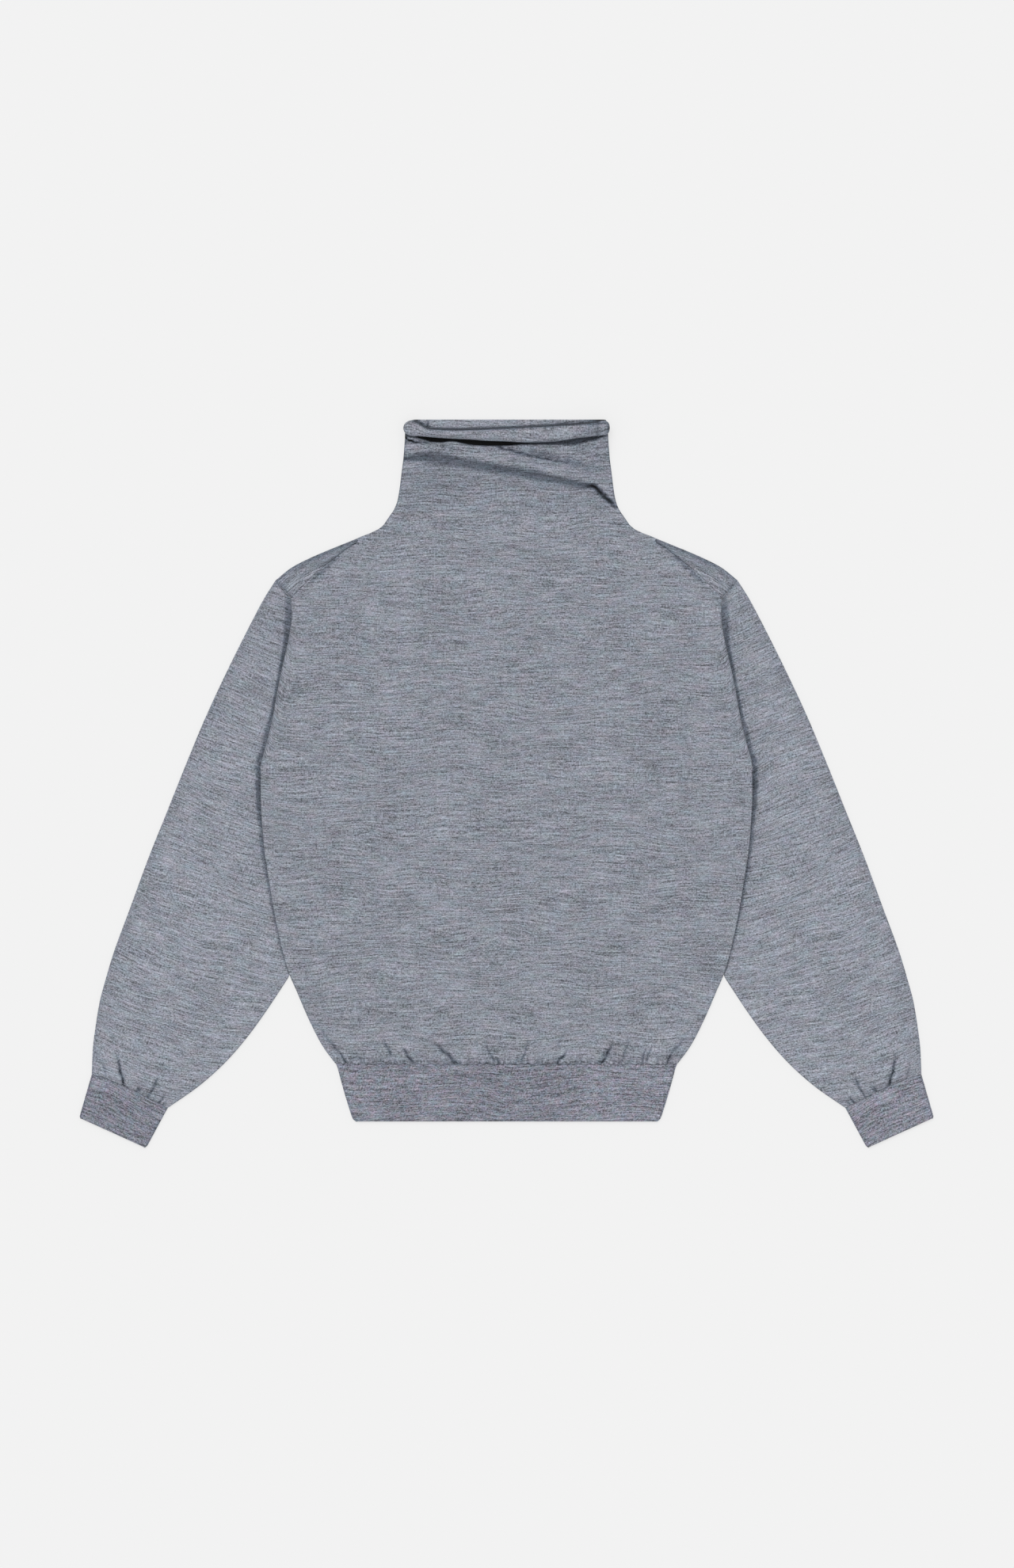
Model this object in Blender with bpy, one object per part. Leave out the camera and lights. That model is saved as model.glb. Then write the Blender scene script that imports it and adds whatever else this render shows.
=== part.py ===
"""A relaxed jumper in fine melange jersey, laid out flat, with a funnel neck that ends in a rolled rim.

Every piece is a wall of cloth between two skins that share one grid of points. Sizes are in
millimetres until a piece becomes a mesh. Heights run up the garment from the lower edge of the hem
band, half widths run out from its centre line, and z runs up from the surface that it lies on.
"""

import bisect
import math
from collections import namedtuple

import bmesh
import bpy

MM = 0.001
MIDDLE_HEIGHT = 383.85  # half way between the lowest cuff corner and the top of the rim

# Cloth and seams
WALL = 1.2
LAYER_GAP = 0.6
SEAM_GAP = 0.3
BACK_Z = WALL / 2
FRONT_Z = BACK_Z + WALL + LAYER_GAP
FOLD_Z = (BACK_Z + FRONT_Z) / 2
FOLD_OUTSIDE = WALL + LAYER_GAP / 2
FOLD_INSIDE = LAYER_GAP / 2
FOLD_STEPS = 4
EDGE_DIP = 0.3  # the front settles by this much where its edge is sewn on the back's

# Heights of the corners of the cut
HEM_SEAM = 66.0
GATHERS_END = 112.0
PARTING = 165.6  # where body and sleeve part at the white gap
UNDERARM = 407.5
SEAM_FOOT = 594.0  # the forward shoulder seam meets the armhole here
NECK_FOOT = 662.4
RIM_TOP = 797.4

# The body's side lies over the sleeve between underarm and parting
LIFT = 3.8
LIFT_RUN = 9.0
LIFT_FLAT = 14.0
LIFT_SLOPE = 20.0

# Rows and columns of the body
EDGE_STEPS = (0.0, 4.0, 14.0, 24.0, 34.0)
FRONT_MIDDLE = 16
BACK_MIDDLE = 8
GATHER_ROWS = (66.0, 70.0, 75.0, 81.0, 88.0, 96.0, 104.0, 112.0)
SIDE_ROWS = (122.5, 136.0, 149.5, 165.6, 174.6, 193.0, 212.5, 239.5, 266.5, 293.5, 320.5, 347.5,
             374.5, 398.5, 407.5, 410.0)
NECK_ROWS = (669.6, 675.0, 680.4, 685.8)
BACK_NECK_ROWS = (696.6, 707.5, 723.0, 739.0, 747.0, 755.0, 762.0, 768.0, 774.0)

# The front's rows in the neck follow the trough of its long fold, as shares of the cloth to each side
NECK_LOW = 685.8
NECK_HIGH = 774.0
BELOW_TROUGH = (0.10, 0.22, 0.42, 0.58, 0.70, 0.80, 0.90)
ABOVE_TROUGH = (0.0, 0.16, 0.32, 0.48, 0.64, 0.82, 1.0)
EDGE_TRIES = 4  # a row's end and the neck's edge depend on each other, and settle in this many tries

Edge = namedtuple("Edge", "height half")

SIDE_EDGE = (
    Edge(66.0, 194.5),
    Edge(82.0, 206.5),
    Edge(95.5, 214.5),
    Edge(122.5, 227.5),
    Edge(149.5, 239.0),
    Edge(165.6, 246.0),
    Edge(212.5, 258.5),
    Edge(266.5, 268.5),
    Edge(320.5, 276.0),
    Edge(374.5, 279.0),
    Edge(407.5, 278.5),
)

ARMHOLE = (
    Edge(407.5, 278.5),
    Edge(410.0, 277.9),
    Edge(433.0, 271.5),
    Edge(458.0, 265.5),
    Edge(480.5, 261.5),
    Edge(506.5, 256.5),
    Edge(533.0, 250.5),
    Edge(554.5, 246.0),
    Edge(576.0, 243.4),
    Edge(594.0, 244.4),
)
SLOPE_STEP = 0.5  # the armhole's slope is measured over this much to each side

# The back comes over the shoulder: its fold, and the seam where its strip meets the front
Shoulder = namedtuple("Shoulder", "fold_height fold_half seam_height seam_half")
SHOULDER = (
    Shoulder(614.7, 262.4, 594.0, 244.4),
    Shoulder(629.1, 244.4, 609.3, 230.0),
    Shoulder(639.0, 225.5, 624.2, 214.7),
    Shoulder(647.7, 205.7, 636.3, 199.4),
    Shoulder(655.8, 185.9, 648.9, 183.2),
    Shoulder(662.4, 169.7, 659.3, 168.8),
)
STRIP_STEPS = 3

NECK_EDGE = (
    Edge(659.3, 168.4),
    Edge(662.4, 169.3),
    Edge(669.6, 151.7),
    Edge(675.0, 142.2),
    Edge(685.8, 134.1),
    Edge(696.6, 127.0),
    Edge(707.5, 123.3),
    Edge(739.8, 118.8),
    Edge(761.4, 116.2),
    Edge(775.0, 115.2),
    Edge(797.4, 114.8),
)

# Rolled rim of the neck
NECK_RISE = 4.0
NECK_RISE_START = 742.0
NECK_RISE_RUN = 30.0
ROLL_HEIGHT = 780.75
ROLL_REACH = 6.75
ROLL_RISE = 3.6
ROLL_END = 14.0
ROLL_END_SHARE = 0.55
ROLL_STEPS = 8
ROLL_STEP_ANGLE = math.radians(36)
TURN_STEPS = 4
TURN_RADIUS = NECK_RISE / 2
TURN_FLAP = 12.0

# Folds of the neck: a trough between two soft crests along a bowed line
Fold = namedtuple("Fold", "start_x start_height end_x end_height bow spread crest")
NECK_FOLDS = (
    Fold(-112.0, 758.0, 99.0, 723.5, 3.4, 9.0, 4.2),
    Fold(99.0, 723.5, 122.0, 701.0, 2.0, 8.0, 3.6),
    Fold(-7.0, 765.0, 90.0, 744.0, 0.0, 6.0, 1.4),
)
FOLD_FADE = 0.12
LOWER_CREST = 0.7  # height of the crest below the trough, as a share of the one above
TROUGH_SHARPNESS = 2.0

# Gathers above the hem band: where each starts at the seam, where it runs out, and its depth
Gather = namedtuple("Gather", "foot top top_height depth")
HEM_GATHERS = (
    Gather(-182.0, -206.0, 95.0, 0.8),
    Gather(-129.0, -142.5, 95.0, 0.6),
    Gather(-106.0, -116.5, 82.0, 0.6),
    Gather(-56.0, -83.0, 90.0, 1.0),
    Gather(-10.5, -23.0, 90.0, 0.7),
    Gather(13.0, 24.0, 90.0, 0.7),
    Gather(55.5, 63.5, 102.0, 1.0),
    Gather(109.5, 119.0, 87.0, 1.0),
    Gather(134.5, 142.5, 110.0, 0.7),
    Gather(156.0, 161.5, 82.0, 0.6),
    Gather(184.0, 195.0, 79.0, 0.7),
)
HEM_PUFF = 4.0
HEM_PUFF_RISE = 10.0
HEM_PUFF_FALL = 40.0
GROOVE_WIDTH = 3.5
GROOVE_RUN_OUT = 0.3  # grooves fade over their last stretch, by this share of them
FLANK = 5.0
FLANK_SHARE = 0.3
PUFF_EDGE = 8.0

HEM_EDGE = (
    Edge(0.0, 172.5),
    Edge(2.0, 174.2),
    Edge(14.4, 178.7),
    Edge(41.4, 186.8),
    Edge(54.9, 190.4),
    Edge(66.0, 191.7),
)
HEM_ROWS = (0.0, 2.0, 14.4, 30.0, 48.0, 66.0)
HEM_COLUMNS = 18

SLEEVE_OUTER = (
    Edge(53.1, 471.2),
    Edge(81.9, 470.0),
    Edge(108.9, 466.7),
    Edge(135.9, 462.2),
    Edge(162.9, 455.0),
    Edge(189.9, 446.9),
    Edge(243.9, 427.1),
    Edge(297.9, 407.3),
    Edge(351.9, 385.7),
    Edge(405.9, 364.1),
    Edge(459.9, 341.6),
    Edge(513.9, 316.4),
    Edge(567.9, 289.4),
    Edge(594.9, 275.0),
    Edge(614.7, 262.4),
)

SLEEVE_INNER = (
    Edge(15.3, 384.8),
    Edge(41.4, 347.9),
    Edge(68.4, 318.2),
    Edge(95.4, 294.8),
    Edge(122.4, 275.0),
    Edge(149.4, 257.0),
    Edge(165.6, 246.4),
)

# How far the sleeve's inner edge is tucked under the body's side
Tuck = namedtuple("Tuck", "height depth")
TUCK = (
    Tuck(174.6, -0.35),
    Tuck(193.0, 6.0),
    Tuck(239.5, 11.0),
    Tuck(293.5, 11.0),
    Tuck(347.5, 8.0),
    Tuck(374.5, 5.0),
    Tuck(398.5, -0.35),
)

# Sections of the sleeve, each a straight line from its outer edge to the armhole or inner edge
Section = namedtuple("Section", "outer_height inner_height")
SLEEVE_SECTIONS = (
    Section(614.7, 594.0),
    Section(594.0, 576.0),
    Section(573.0, 554.5),
    Section(553.0, 533.0),
    Section(529.5, 506.5),
    Section(506.0, 480.5),
    Section(485.0, 458.0),
    Section(461.0, 433.0),
    Section(438.5, 410.0),
    Section(436.0, 407.5),
    Section(427.0, 398.5),
    Section(404.0, 374.5),
    Section(377.5, 347.5),
    Section(350.5, 320.5),
    Section(324.0, 293.5),
    Section(297.0, 266.5),
    Section(270.0, 239.5),
    Section(243.5, 212.5),
    Section(224.5, 193.0),
    Section(206.5, 174.6),
    Section(197.5, 165.6),
    Section(181.0, 149.4),
    Section(154.0, 122.4),
    Section(127.0, 95.4),
    Section(100.0, 68.4),
    Section(86.0, 52.0),
    Section(77.5, 42.0),
    Section(70.0, 33.0),
    Section(63.0, 25.0),
    Section(57.5, 19.5),
    Section(53.1, 15.3),
)
ARMHOLE_SECTIONS = 9  # this many of them end at the armhole, and the others at the inner edge
SLEEVE_UNDER_STEPS = 5
SLEEVE_CROWN = 1.6
SLEEVE_CROWN_SHARE = 0.84
SLEEVE_HEAD_RUN = 40.0

# Gathers above the cuff, as shares of the width from the outer edge
SleeveGather = namedtuple("SleeveGather", "foot top reach depth")
CUFF_GATHERS = (
    SleeveGather(0.16, 0.10, 20.0, 0.5),
    SleeveGather(0.39, 0.24, 30.0, 1.0),
    SleeveGather(0.59, 0.62, 14.0, 0.6),
    SleeveGather(0.72, 0.74, 26.0, 0.8),
    SleeveGather(0.87, 0.91, 16.0, 0.6),
)
CUFF_PUFF = 3.2
CUFF_PUFF_RISE = 8.0
CUFF_PUFF_FALL = 32.0
CUFF_GROOVE = 0.045
CUFF_COLUMN_START = 30.0
CUFF_COLUMN_RUN = 50.0
PUFF_EDGE_SHARE = 0.12

# Corners of the cuff: height and half width
CUFF_TOP_OUTER = Edge(53.1, 471.2)
CUFF_TOP_INNER = Edge(15.3, 384.8)
CUFF_END_OUTER = Edge(3.6, 485.6)
CUFF_END_INNER = Edge(-29.7, 409.1)
CUFF_BOW = 3.2  # the seam arches up the sleeve by this much
CUFF_BOW_RUN = 45.0
CUFF_BOW_LEAN = 0.7  # under 1 the arch is highest nearer the outer edge
CUFF_ROWS = 4

GREY = (0.255, 0.266, 0.309, 1.0)
BAND_GREY = (0.235, 0.244, 0.292, 1.0)
JERSEY_ROUGHNESS = 0.9
SHARP_ANGLE = math.radians(40)


def smooth(share):
    """Ease from 0 to 1 as the share goes from 0 to 1."""
    share = min(max(share, 0.0), 1.0)
    return share * share * (3.0 - 2.0 * share)


def mix(start, end, share):
    return start + (end - start) * share


def read_table(rows, column, height):
    """Value of a column at a height: a smooth curve through the rows that never overshoots them."""
    places = [row.height for row in rows]
    values = [getattr(row, column) for row in rows]
    if height <= places[0]:
        return values[0]
    if height >= places[-1]:
        return values[-1]
    slopes = []
    for k in range(len(rows) - 1):
        slopes.append((values[k + 1] - values[k]) / (places[k + 1] - places[k]))

    def tangent(k):
        if k == 0:
            return slopes[0]
        if k == len(slopes):
            return slopes[-1]
        before, after = slopes[k - 1], slopes[k]
        if before * after <= 0.0:
            return 0.0
        return 2.0 * before * after / (before + after)

    k = bisect.bisect_right(places, height) - 1
    step = places[k + 1] - places[k]
    share = (height - places[k]) / step
    start = values[k] * (1.0 + 2.0 * share) * (1.0 - share) ** 2
    end = values[k + 1] * (3.0 - 2.0 * share) * share ** 2
    leave = tangent(k) * step * share * (1.0 - share) ** 2
    arrive = tangent(k + 1) * step * share ** 2 * (share - 1.0)
    return start + end + leave + arrive


class Wall:
    """Two skins of cloth on one grid of points, closed along every free edge.

    The first skin faces the side from which the cells run anticlockwise.
    """

    def __init__(self):
        self.first = []
        self.second = []
        self.cells = []

    def point(self, first, second):
        self.first.append(first)
        self.second.append(second)
        return len(self.first) - 1

    def level(self, x, height, z):
        """A point of cloth that lies nearly level, at the middle of its thickness."""
        return self.point((x, height, z + WALL / 2), (x, height, z - WALL / 2))

    def cell(self, corners):
        """Cut a cell into triangles from its first corner."""
        for k in range(1, len(corners) - 1):
            self.cells.append((corners[0], corners[k], corners[k + 1]))

    def strip(self, lower, upper):
        """Fill the cloth between two rows with the same number of points."""
        for k in range(len(lower) - 1):
            self.cell((lower[k], lower[k + 1], upper[k + 1], upper[k]))

    def widen(self, fine, coarse, marks):
        """Fill the cloth between a fine row and a coarse one above it, joined at the marks."""
        for k in range(len(coarse) - 1):
            lower = fine[marks[k]:marks[k + 1] + 1]
            self.cell((coarse[k],) + tuple(lower) + (coarse[k + 1],))

    def build(self, name, colour, mirrored=False):
        """Make the object, on the other side of the centre line if it is mirrored."""
        side = -1.0 if mirrored else 1.0
        shape = bmesh.new()
        skins = []
        for points in (self.first, self.second):
            skin = []
            for x, height, z in points:
                place = (side * x * MM, (height - MIDDLE_HEIGHT) * MM, z * MM)
                skin.append(shape.verts.new(place))
            skins.append(skin)
        first, second = skins
        edges = set()
        for a, b, c in self.cells:
            shape.faces.new((first[a], first[b], first[c]))
            shape.faces.new((second[c], second[b], second[a]))
            edges.update(((a, b), (b, c), (c, a)))
        for a, b in sorted(edges):
            if (b, a) not in edges:
                shape.faces.new((first[b], first[a], second[a], second[b]))
        if mirrored:
            bmesh.ops.reverse_faces(shape, faces=shape.faces)
        mesh = bpy.data.meshes.new(name)
        shape.to_mesh(mesh)
        shape.free()
        mesh.shade_smooth()
        mesh.set_sharp_from_angle(angle=SHARP_ANGLE)
        mesh.materials.append(cloth_material(name + "_jersey", colour))
        piece = bpy.data.objects.new(name, mesh)
        bpy.context.scene.collection.objects.link(piece)
        return piece


def cloth_material(name, colour):
    material = bpy.data.materials.new(name)
    material.use_nodes = True
    shader = material.node_tree.nodes["Principled BSDF"]
    shader.inputs["Base Color"].default_value = colour
    shader.inputs["Roughness"].default_value = JERSEY_ROUGHNESS
    shader.inputs["Metallic"].default_value = 0.0
    return material


def front_half(height):
    """Half width of the front at a height."""
    if height <= UNDERARM:
        return read_table(SIDE_EDGE, "half", height)
    if height <= SEAM_FOOT:
        return read_table(ARMHOLE, "half", height)
    for row in SHOULDER[:-1]:
        if math.isclose(height, row.seam_height):
            return row.seam_half
    return read_table(NECK_EDGE, "half", height)


def columns(half, middle, right_half=None):
    """Places across a row of the body: close together at the edges and evenly spread between."""
    left = [-half + step for step in EDGE_STEPS]
    right = [(right_half or half) - step for step in EDGE_STEPS]
    centre = [mix(left[-1], right[-1], k / middle) for k in range(1, middle)]
    return left + centre + right[::-1]


def trough_line(x):
    """Height of the trough of the long neck fold, with the sharp turn at its right end."""
    fold = NECK_FOLDS[0] if x < NECK_FOLDS[0].end_x else NECK_FOLDS[1]
    share = (x - fold.start_x) / (fold.end_x - fold.start_x)
    clamped = min(max(share, 0.0), 1.0)
    return mix(fold.start_height, fold.end_height, share) + fold.bow * 4.0 * clamped * (1.0 - clamped)


def trough_rows():
    """Rows of places in the neck: below the trough, along it and above it."""
    rows = []
    for low, high, shares in ((NECK_LOW, None, BELOW_TROUGH), (None, NECK_HIGH, ABOVE_TROUGH)):
        for share in shares:
            def height_at(x):
                trough = trough_line(x)
                return mix(low or trough, high or trough, share)

            halves = []
            for side in (-1.0, 1.0):
                half = read_table(NECK_EDGE, "half", NECK_HIGH)
                for _ in range(EDGE_TRIES):
                    half = read_table(NECK_EDGE, "half", height_at(side * half))
                halves.append(half)
            rows.append([(x, height_at(x)) for x in columns(halves[0], FRONT_MIDDLE, halves[1])])
    return rows


def side_lift(distance, height):
    """How far the body's side is raised by the sleeve that lies under it."""
    above = (UNDERARM - height) / LIFT_RUN
    below = (height - PARTING) / LIFT_RUN
    along = min(max(min(above, below), 0.0), 1.0)
    return LIFT * along * (1.0 - smooth((distance - LIFT_FLAT) / LIFT_SLOPE))


def neck_rise(height):
    """How far the neck is raised towards its rolled rim."""
    return NECK_RISE * smooth((height - NECK_RISE_START) / NECK_RISE_RUN)


def fold_height(fold, x, height):
    """Height of one neck fold over the cloth: two crests with a trough between them."""
    run_x = fold.end_x - fold.start_x
    run_height = fold.end_height - fold.start_height
    length = math.hypot(run_x, run_height)
    along = ((x - fold.start_x) * run_x + (height - fold.start_height) * run_height) / length ** 2
    across = ((height - fold.start_height) * run_x - (x - fold.start_x) * run_height) / length
    clamped = min(max(along, 0.0), 1.0)
    across -= fold.bow * 4.0 * clamped * (1.0 - clamped)
    upper = math.exp(-((across - fold.spread) / fold.spread) ** 2)
    lower = LOWER_CREST * math.exp(-((across + fold.spread) / fold.spread) ** 2)
    trough = 1.0 - math.exp(-(TROUGH_SHARPNESS * across / fold.spread) ** 2)
    fade = smooth((along + FOLD_FADE) / FOLD_FADE) * smooth((1.0 + FOLD_FADE - along) / FOLD_FADE)
    return fold.crest * (upper + lower) * trough * fade


def gather_place(gather, height):
    """Where a gather's groove runs at a height; above its end it spreads with the body's width."""
    share = (height - HEM_SEAM) / (gather.top_height - HEM_SEAM)
    if share <= 1.0:
        return mix(gather.foot, gather.top, share)
    return gather.top * front_half(height) / front_half(gather.top_height)


def hem_puff(x, height, distance):
    """Height of the puffs that the gathers leave above the hem band."""
    rise = smooth((height - HEM_SEAM) / HEM_PUFF_RISE)
    fall = 1.0 - smooth((height - HEM_SEAM - HEM_PUFF_RISE) / HEM_PUFF_FALL)
    groove = 0.0
    for gather in HEM_GATHERS:
        away = (x - gather_place(gather, height)) / GROOVE_WIDTH
        run_out = smooth((gather.top_height - height) / (gather.top_height - HEM_SEAM) + GROOVE_RUN_OUT)
        groove = max(groove, gather.depth * math.exp(-away ** 2) * run_out)
    return HEM_PUFF * rise * fall * (1.0 - groove) * smooth(distance / PUFF_EDGE)


def gather_columns(height):
    """Places across a row of the gathers: each groove, its two flanks and the crest between."""
    half = front_half(height)
    marks = [-half] + [gather_place(gather, height) for gather in HEM_GATHERS] + [half]
    places = []
    for left, right in zip(marks, marks[1:]):
        flank = min(FLANK, FLANK_SHARE * (right - left))
        places += [left, left + flank, (left + right) / 2, right - flank]
    return places + [half]


def front_z(x, height):
    """Middle of the front's cloth over the surface that the jumper lies on."""
    distance = front_half(height) - abs(x)
    z = FRONT_Z + side_lift(distance, height) + neck_rise(height)
    sewn_on_back = height <= UNDERARM or height > NECK_FOOT
    if sewn_on_back and distance < EDGE_STEPS[1] / 2:
        z -= EDGE_DIP
    if height <= GATHERS_END:
        return z + hem_puff(x, height, distance)
    if height > NECK_LOW:
        crests = sum(fold_height(fold, x, height) for fold in NECK_FOLDS)
        return z + crests * smooth(distance / EDGE_STEPS[2]) * rim_calm(height)
    return z


def rim_calm(height):
    """The folds die away before the cloth turns into the roll."""
    return smooth((ROLL_HEIGHT - ROLL_REACH - height) / PUFF_EDGE)


def roll_share(x, half):
    """The roll is slimmer at its two ends."""
    return mix(ROLL_END_SHARE, 1.0, smooth((half - abs(x)) / ROLL_END))


def roll_row(wall, step):
    """One row of the rim's roll, which turns up and over towards the wearer's front."""
    angle = step * ROLL_STEP_ANGLE
    half = read_table(NECK_EDGE, "half", ROLL_HEIGHT)
    base = FRONT_Z + NECK_RISE
    row = []
    for x in columns(half, FRONT_MIDDLE):
        share = roll_share(x, half)
        reach = (ROLL_REACH - WALL / 2) * share
        rise = ROLL_RISE * share
        skins = []
        for offset in (-WALL / 2, WALL / 2):
            height = ROLL_HEIGHT + (reach + offset) * math.sin(angle)
            z = base + rise - (rise + offset) * math.cos(angle)
            skins.append((x, height, z))
        row.append(wall.point(skins[0], skins[1]))
    return row


def front_panel():
    wall = Wall()
    rows = []
    for height in GATHER_ROWS:
        shown = height + SEAM_GAP / 2 if height == HEM_SEAM else height
        rows.append([wall.level(x, shown, front_z(x, height)) for x in gather_columns(height)])
    for lower, upper in zip(rows, rows[1:]):
        wall.strip(lower, upper)
    fine, fine_places = rows[-1], gather_columns(GATHERS_END)

    heights = list(SIDE_ROWS)
    heights += [row.height for row in ARMHOLE if row.height > heights[-1]]
    heights += [row.seam_height for row in SHOULDER[1:]]
    heights += [NECK_FOOT]
    heights += list(NECK_ROWS)
    rows = []
    for height in heights:
        places = columns(front_half(height), FRONT_MIDDLE)
        rows.append([wall.level(x, height, front_z(x, height)) for x in places])
    for places in trough_rows():
        rows.append([wall.level(x, height, front_z(x, height)) for x, height in places])
    for step in range(ROLL_STEPS + 1):
        rows.append(roll_row(wall, step))
    for lower, upper in zip(rows, rows[1:]):
        wall.strip(lower, upper)

    places = columns(front_half(SIDE_ROWS[0]), FRONT_MIDDLE)
    wall.widen(fine, rows[0], nearest_marks(fine_places, places))
    return wall.build("front_panel", GREY)


def nearest_marks(fine, coarse):
    """For each coarse place the nearest fine one, each used once, and the ends at the ends."""
    marks = [0]
    for k in range(1, len(coarse) - 1):
        left = len(coarse) - 1 - k
        choice = range(marks[-1] + 1, len(fine) - left)
        marks.append(min(choice, key=lambda place: abs(fine[place] - coarse[k])))
    return marks + [len(fine) - 1]


def strip_points(wall, row, side):
    """The back's cloth over one place of the shoulder: round the fold, then along to the seam."""
    run_half = row.seam_half - row.fold_half
    run_height = row.seam_height - row.fold_height
    length = math.hypot(run_half, run_height)
    run_half /= length
    run_height /= length
    centre_half = row.fold_half + FOLD_OUTSIDE * run_half
    centre_height = row.fold_height + FOLD_OUTSIDE * run_height
    points = []
    for step in range(FOLD_STEPS + 1):
        angle = math.pi * step / FOLD_STEPS
        skins = []
        for radius in (FOLD_INSIDE, FOLD_OUTSIDE):
            out = radius * math.sin(angle)
            z = FOLD_Z - radius * math.cos(angle)
            skins.append((side * (centre_half - out * run_half), centre_height - out * run_height, z))
        points.append(wall.point(skins[0], skins[1]))
    for step in range(1, STRIP_STEPS + 1):
        reach = mix(FOLD_OUTSIDE, length - SEAM_GAP, step / STRIP_STEPS)
        half = row.fold_half + reach * run_half
        height = row.fold_height + reach * run_height
        skins = ((side * half, height, FRONT_Z - WALL / 2), (side * half, height, FRONT_Z + WALL / 2))
        points.append(wall.point(skins[0], skins[1]))
    return points


def back_panel():
    wall = Wall()

    def plain_row(height, half, ends=True):
        row = []
        places = columns(half, BACK_MIDDLE)
        for x in places if ends else places[1:-1]:
            z = BACK_Z + side_lift(half - abs(x), height) + neck_rise(height)
            shown = height + SEAM_GAP / 2 if height == HEM_SEAM else height
            row.append(wall.level(x, shown, z))
        return row

    rows = []
    for height in (HEM_SEAM, GATHERS_END) + SIDE_ROWS:
        rows.append(plain_row(height, front_half(height)))
    for edge in ARMHOLE:
        if edge.height > SIDE_ROWS[-1]:
            rows.append(plain_row(edge.height, edge.half))
    left_strips = []
    right_strips = []
    for place in SHOULDER:
        left = strip_points(wall, place, -1.0)
        right = strip_points(wall, place, 1.0)
        middle = plain_row(place.fold_height, place.fold_half, ends=False)
        rows.append([left[0]] + middle + [right[0]])
        left_strips.append(left[::-1])
        right_strips.append(right)
    for strips in (left_strips, right_strips):
        for lower, upper in zip(strips, strips[1:]):
            wall.strip(lower, upper)
    for height in NECK_ROWS + BACK_NECK_ROWS + (ROLL_HEIGHT, ROLL_HEIGHT + ROLL_REACH):
        rows.append(plain_row(height, read_table(NECK_EDGE, "half", height)))
    rows += rim_turn(wall)
    for lower, upper in zip(rows, rows[1:]):
        wall.strip(lower, upper)
    return wall.build("back_panel", GREY)


def rim_turn(wall):
    """The back's rim turns down and under, and its edge lies on the surface."""
    turn_height = RIM_TOP - TURN_RADIUS - WALL / 2
    turn_z = BACK_Z + TURN_RADIUS
    rows = []
    for step in range(TURN_STEPS + 1):
        angle = math.pi * step / TURN_STEPS
        row = []
        for x in columns(read_table(NECK_EDGE, "half", RIM_TOP), BACK_MIDDLE):
            skins = []
            for radius in (TURN_RADIUS + WALL / 2, TURN_RADIUS - WALL / 2):
                skins.append((x, turn_height + radius * math.sin(angle), turn_z + radius * math.cos(angle)))
            row.append(wall.point(skins[0], skins[1]))
        rows.append(row)
    row = []
    for x in columns(read_table(NECK_EDGE, "half", RIM_TOP), BACK_MIDDLE):
        height = turn_height - TURN_FLAP
        row.append(wall.point((x, height, 0.0), (x, height, WALL)))
    rows.append(row)
    return rows


def tube_ring(wall, outer, inner, top_shares, under_steps, top_height, bow, closed):
    """One section of a flattened tube, from its outer edge over the top to its inner edge and back.

    An open section ends square at the armhole, and its fold there is left out.
    """
    run_half = inner.half - outer.half
    run_height = inner.height - outer.height
    length = math.hypot(run_half, run_height)
    run_half /= length
    run_height /= length
    start = FOLD_OUTSIDE
    end = length - FOLD_OUTSIDE if closed else length

    def place(reach, z):
        arch = bow(reach / length)
        return (outer.half + reach * run_half, outer.height + reach * run_height + arch, z)

    top = []
    for share in top_shares:
        reach = mix(start, end, share)
        raised = top_height(share)
        top.append(wall.point(place(reach, FRONT_Z + WALL / 2 + raised),
                              place(reach, FRONT_Z - WALL / 2 + raised)))
    under = []
    for step in range(under_steps + 1):
        reach = mix(end, start, step / under_steps)
        under.append(wall.point(place(reach, BACK_Z - WALL / 2), place(reach, BACK_Z + WALL / 2)))

    def turn(centre, side, first_angle):
        points = []
        for step in range(1, FOLD_STEPS):
            angle = first_angle + math.pi * step / FOLD_STEPS
            skins = []
            for radius in (FOLD_OUTSIDE, FOLD_INSIDE):
                out = side * radius * abs(math.sin(angle))
                skins.append(place(centre + out, FOLD_Z + radius * math.cos(angle)))
            points.append(wall.point(skins[0], skins[1]))
        return points

    outer_fold = turn(start, -1.0, math.pi)
    inner_fold = turn(end, 1.0, 0.0) if closed else []
    return top, inner_fold, under, outer_fold


def level_top(share):
    """The upper layer of a ribbed band lies level on the lower one."""
    return 0.0


def no_bow(share):
    return 0.0


def join_rings(wall, upper, lower):
    """Fill the cloth between two sections; the inner fold only where both have it."""
    top_a, inner_a, under_a, outer_a = upper
    top_b, inner_b, under_b, outer_b = lower
    outer_run_a = [under_a[-1]] + outer_a + [top_a[0]]
    outer_run_b = [under_b[-1]] + outer_b + [top_b[0]]
    wall.strip(top_a, top_b)
    wall.strip(under_a, under_b)
    wall.strip(outer_run_a, outer_run_b)
    if inner_a and inner_b:
        wall.strip([top_a[-1]] + inner_a + [under_a[0]], [top_b[-1]] + inner_b + [under_b[0]])


def armhole_end(height):
    """A point of the sleeve's seam at the armhole, clear of the body's edge."""
    half = read_table(ARMHOLE, "half", height)
    above = read_table(ARMHOLE, "half", height + SLOPE_STEP)
    below = read_table(ARMHOLE, "half", height - SLOPE_STEP)
    slope = (above - below) / (2.0 * SLOPE_STEP)
    if height >= SEAM_FOOT:
        top = SHOULDER[0]
        slope = (top.fold_half - top.seam_half) / (top.fold_height - top.seam_height) / 2.0
    length = math.hypot(1.0, slope)
    return Edge(height - SEAM_GAP * slope / length, half + SEAM_GAP / length)


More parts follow.
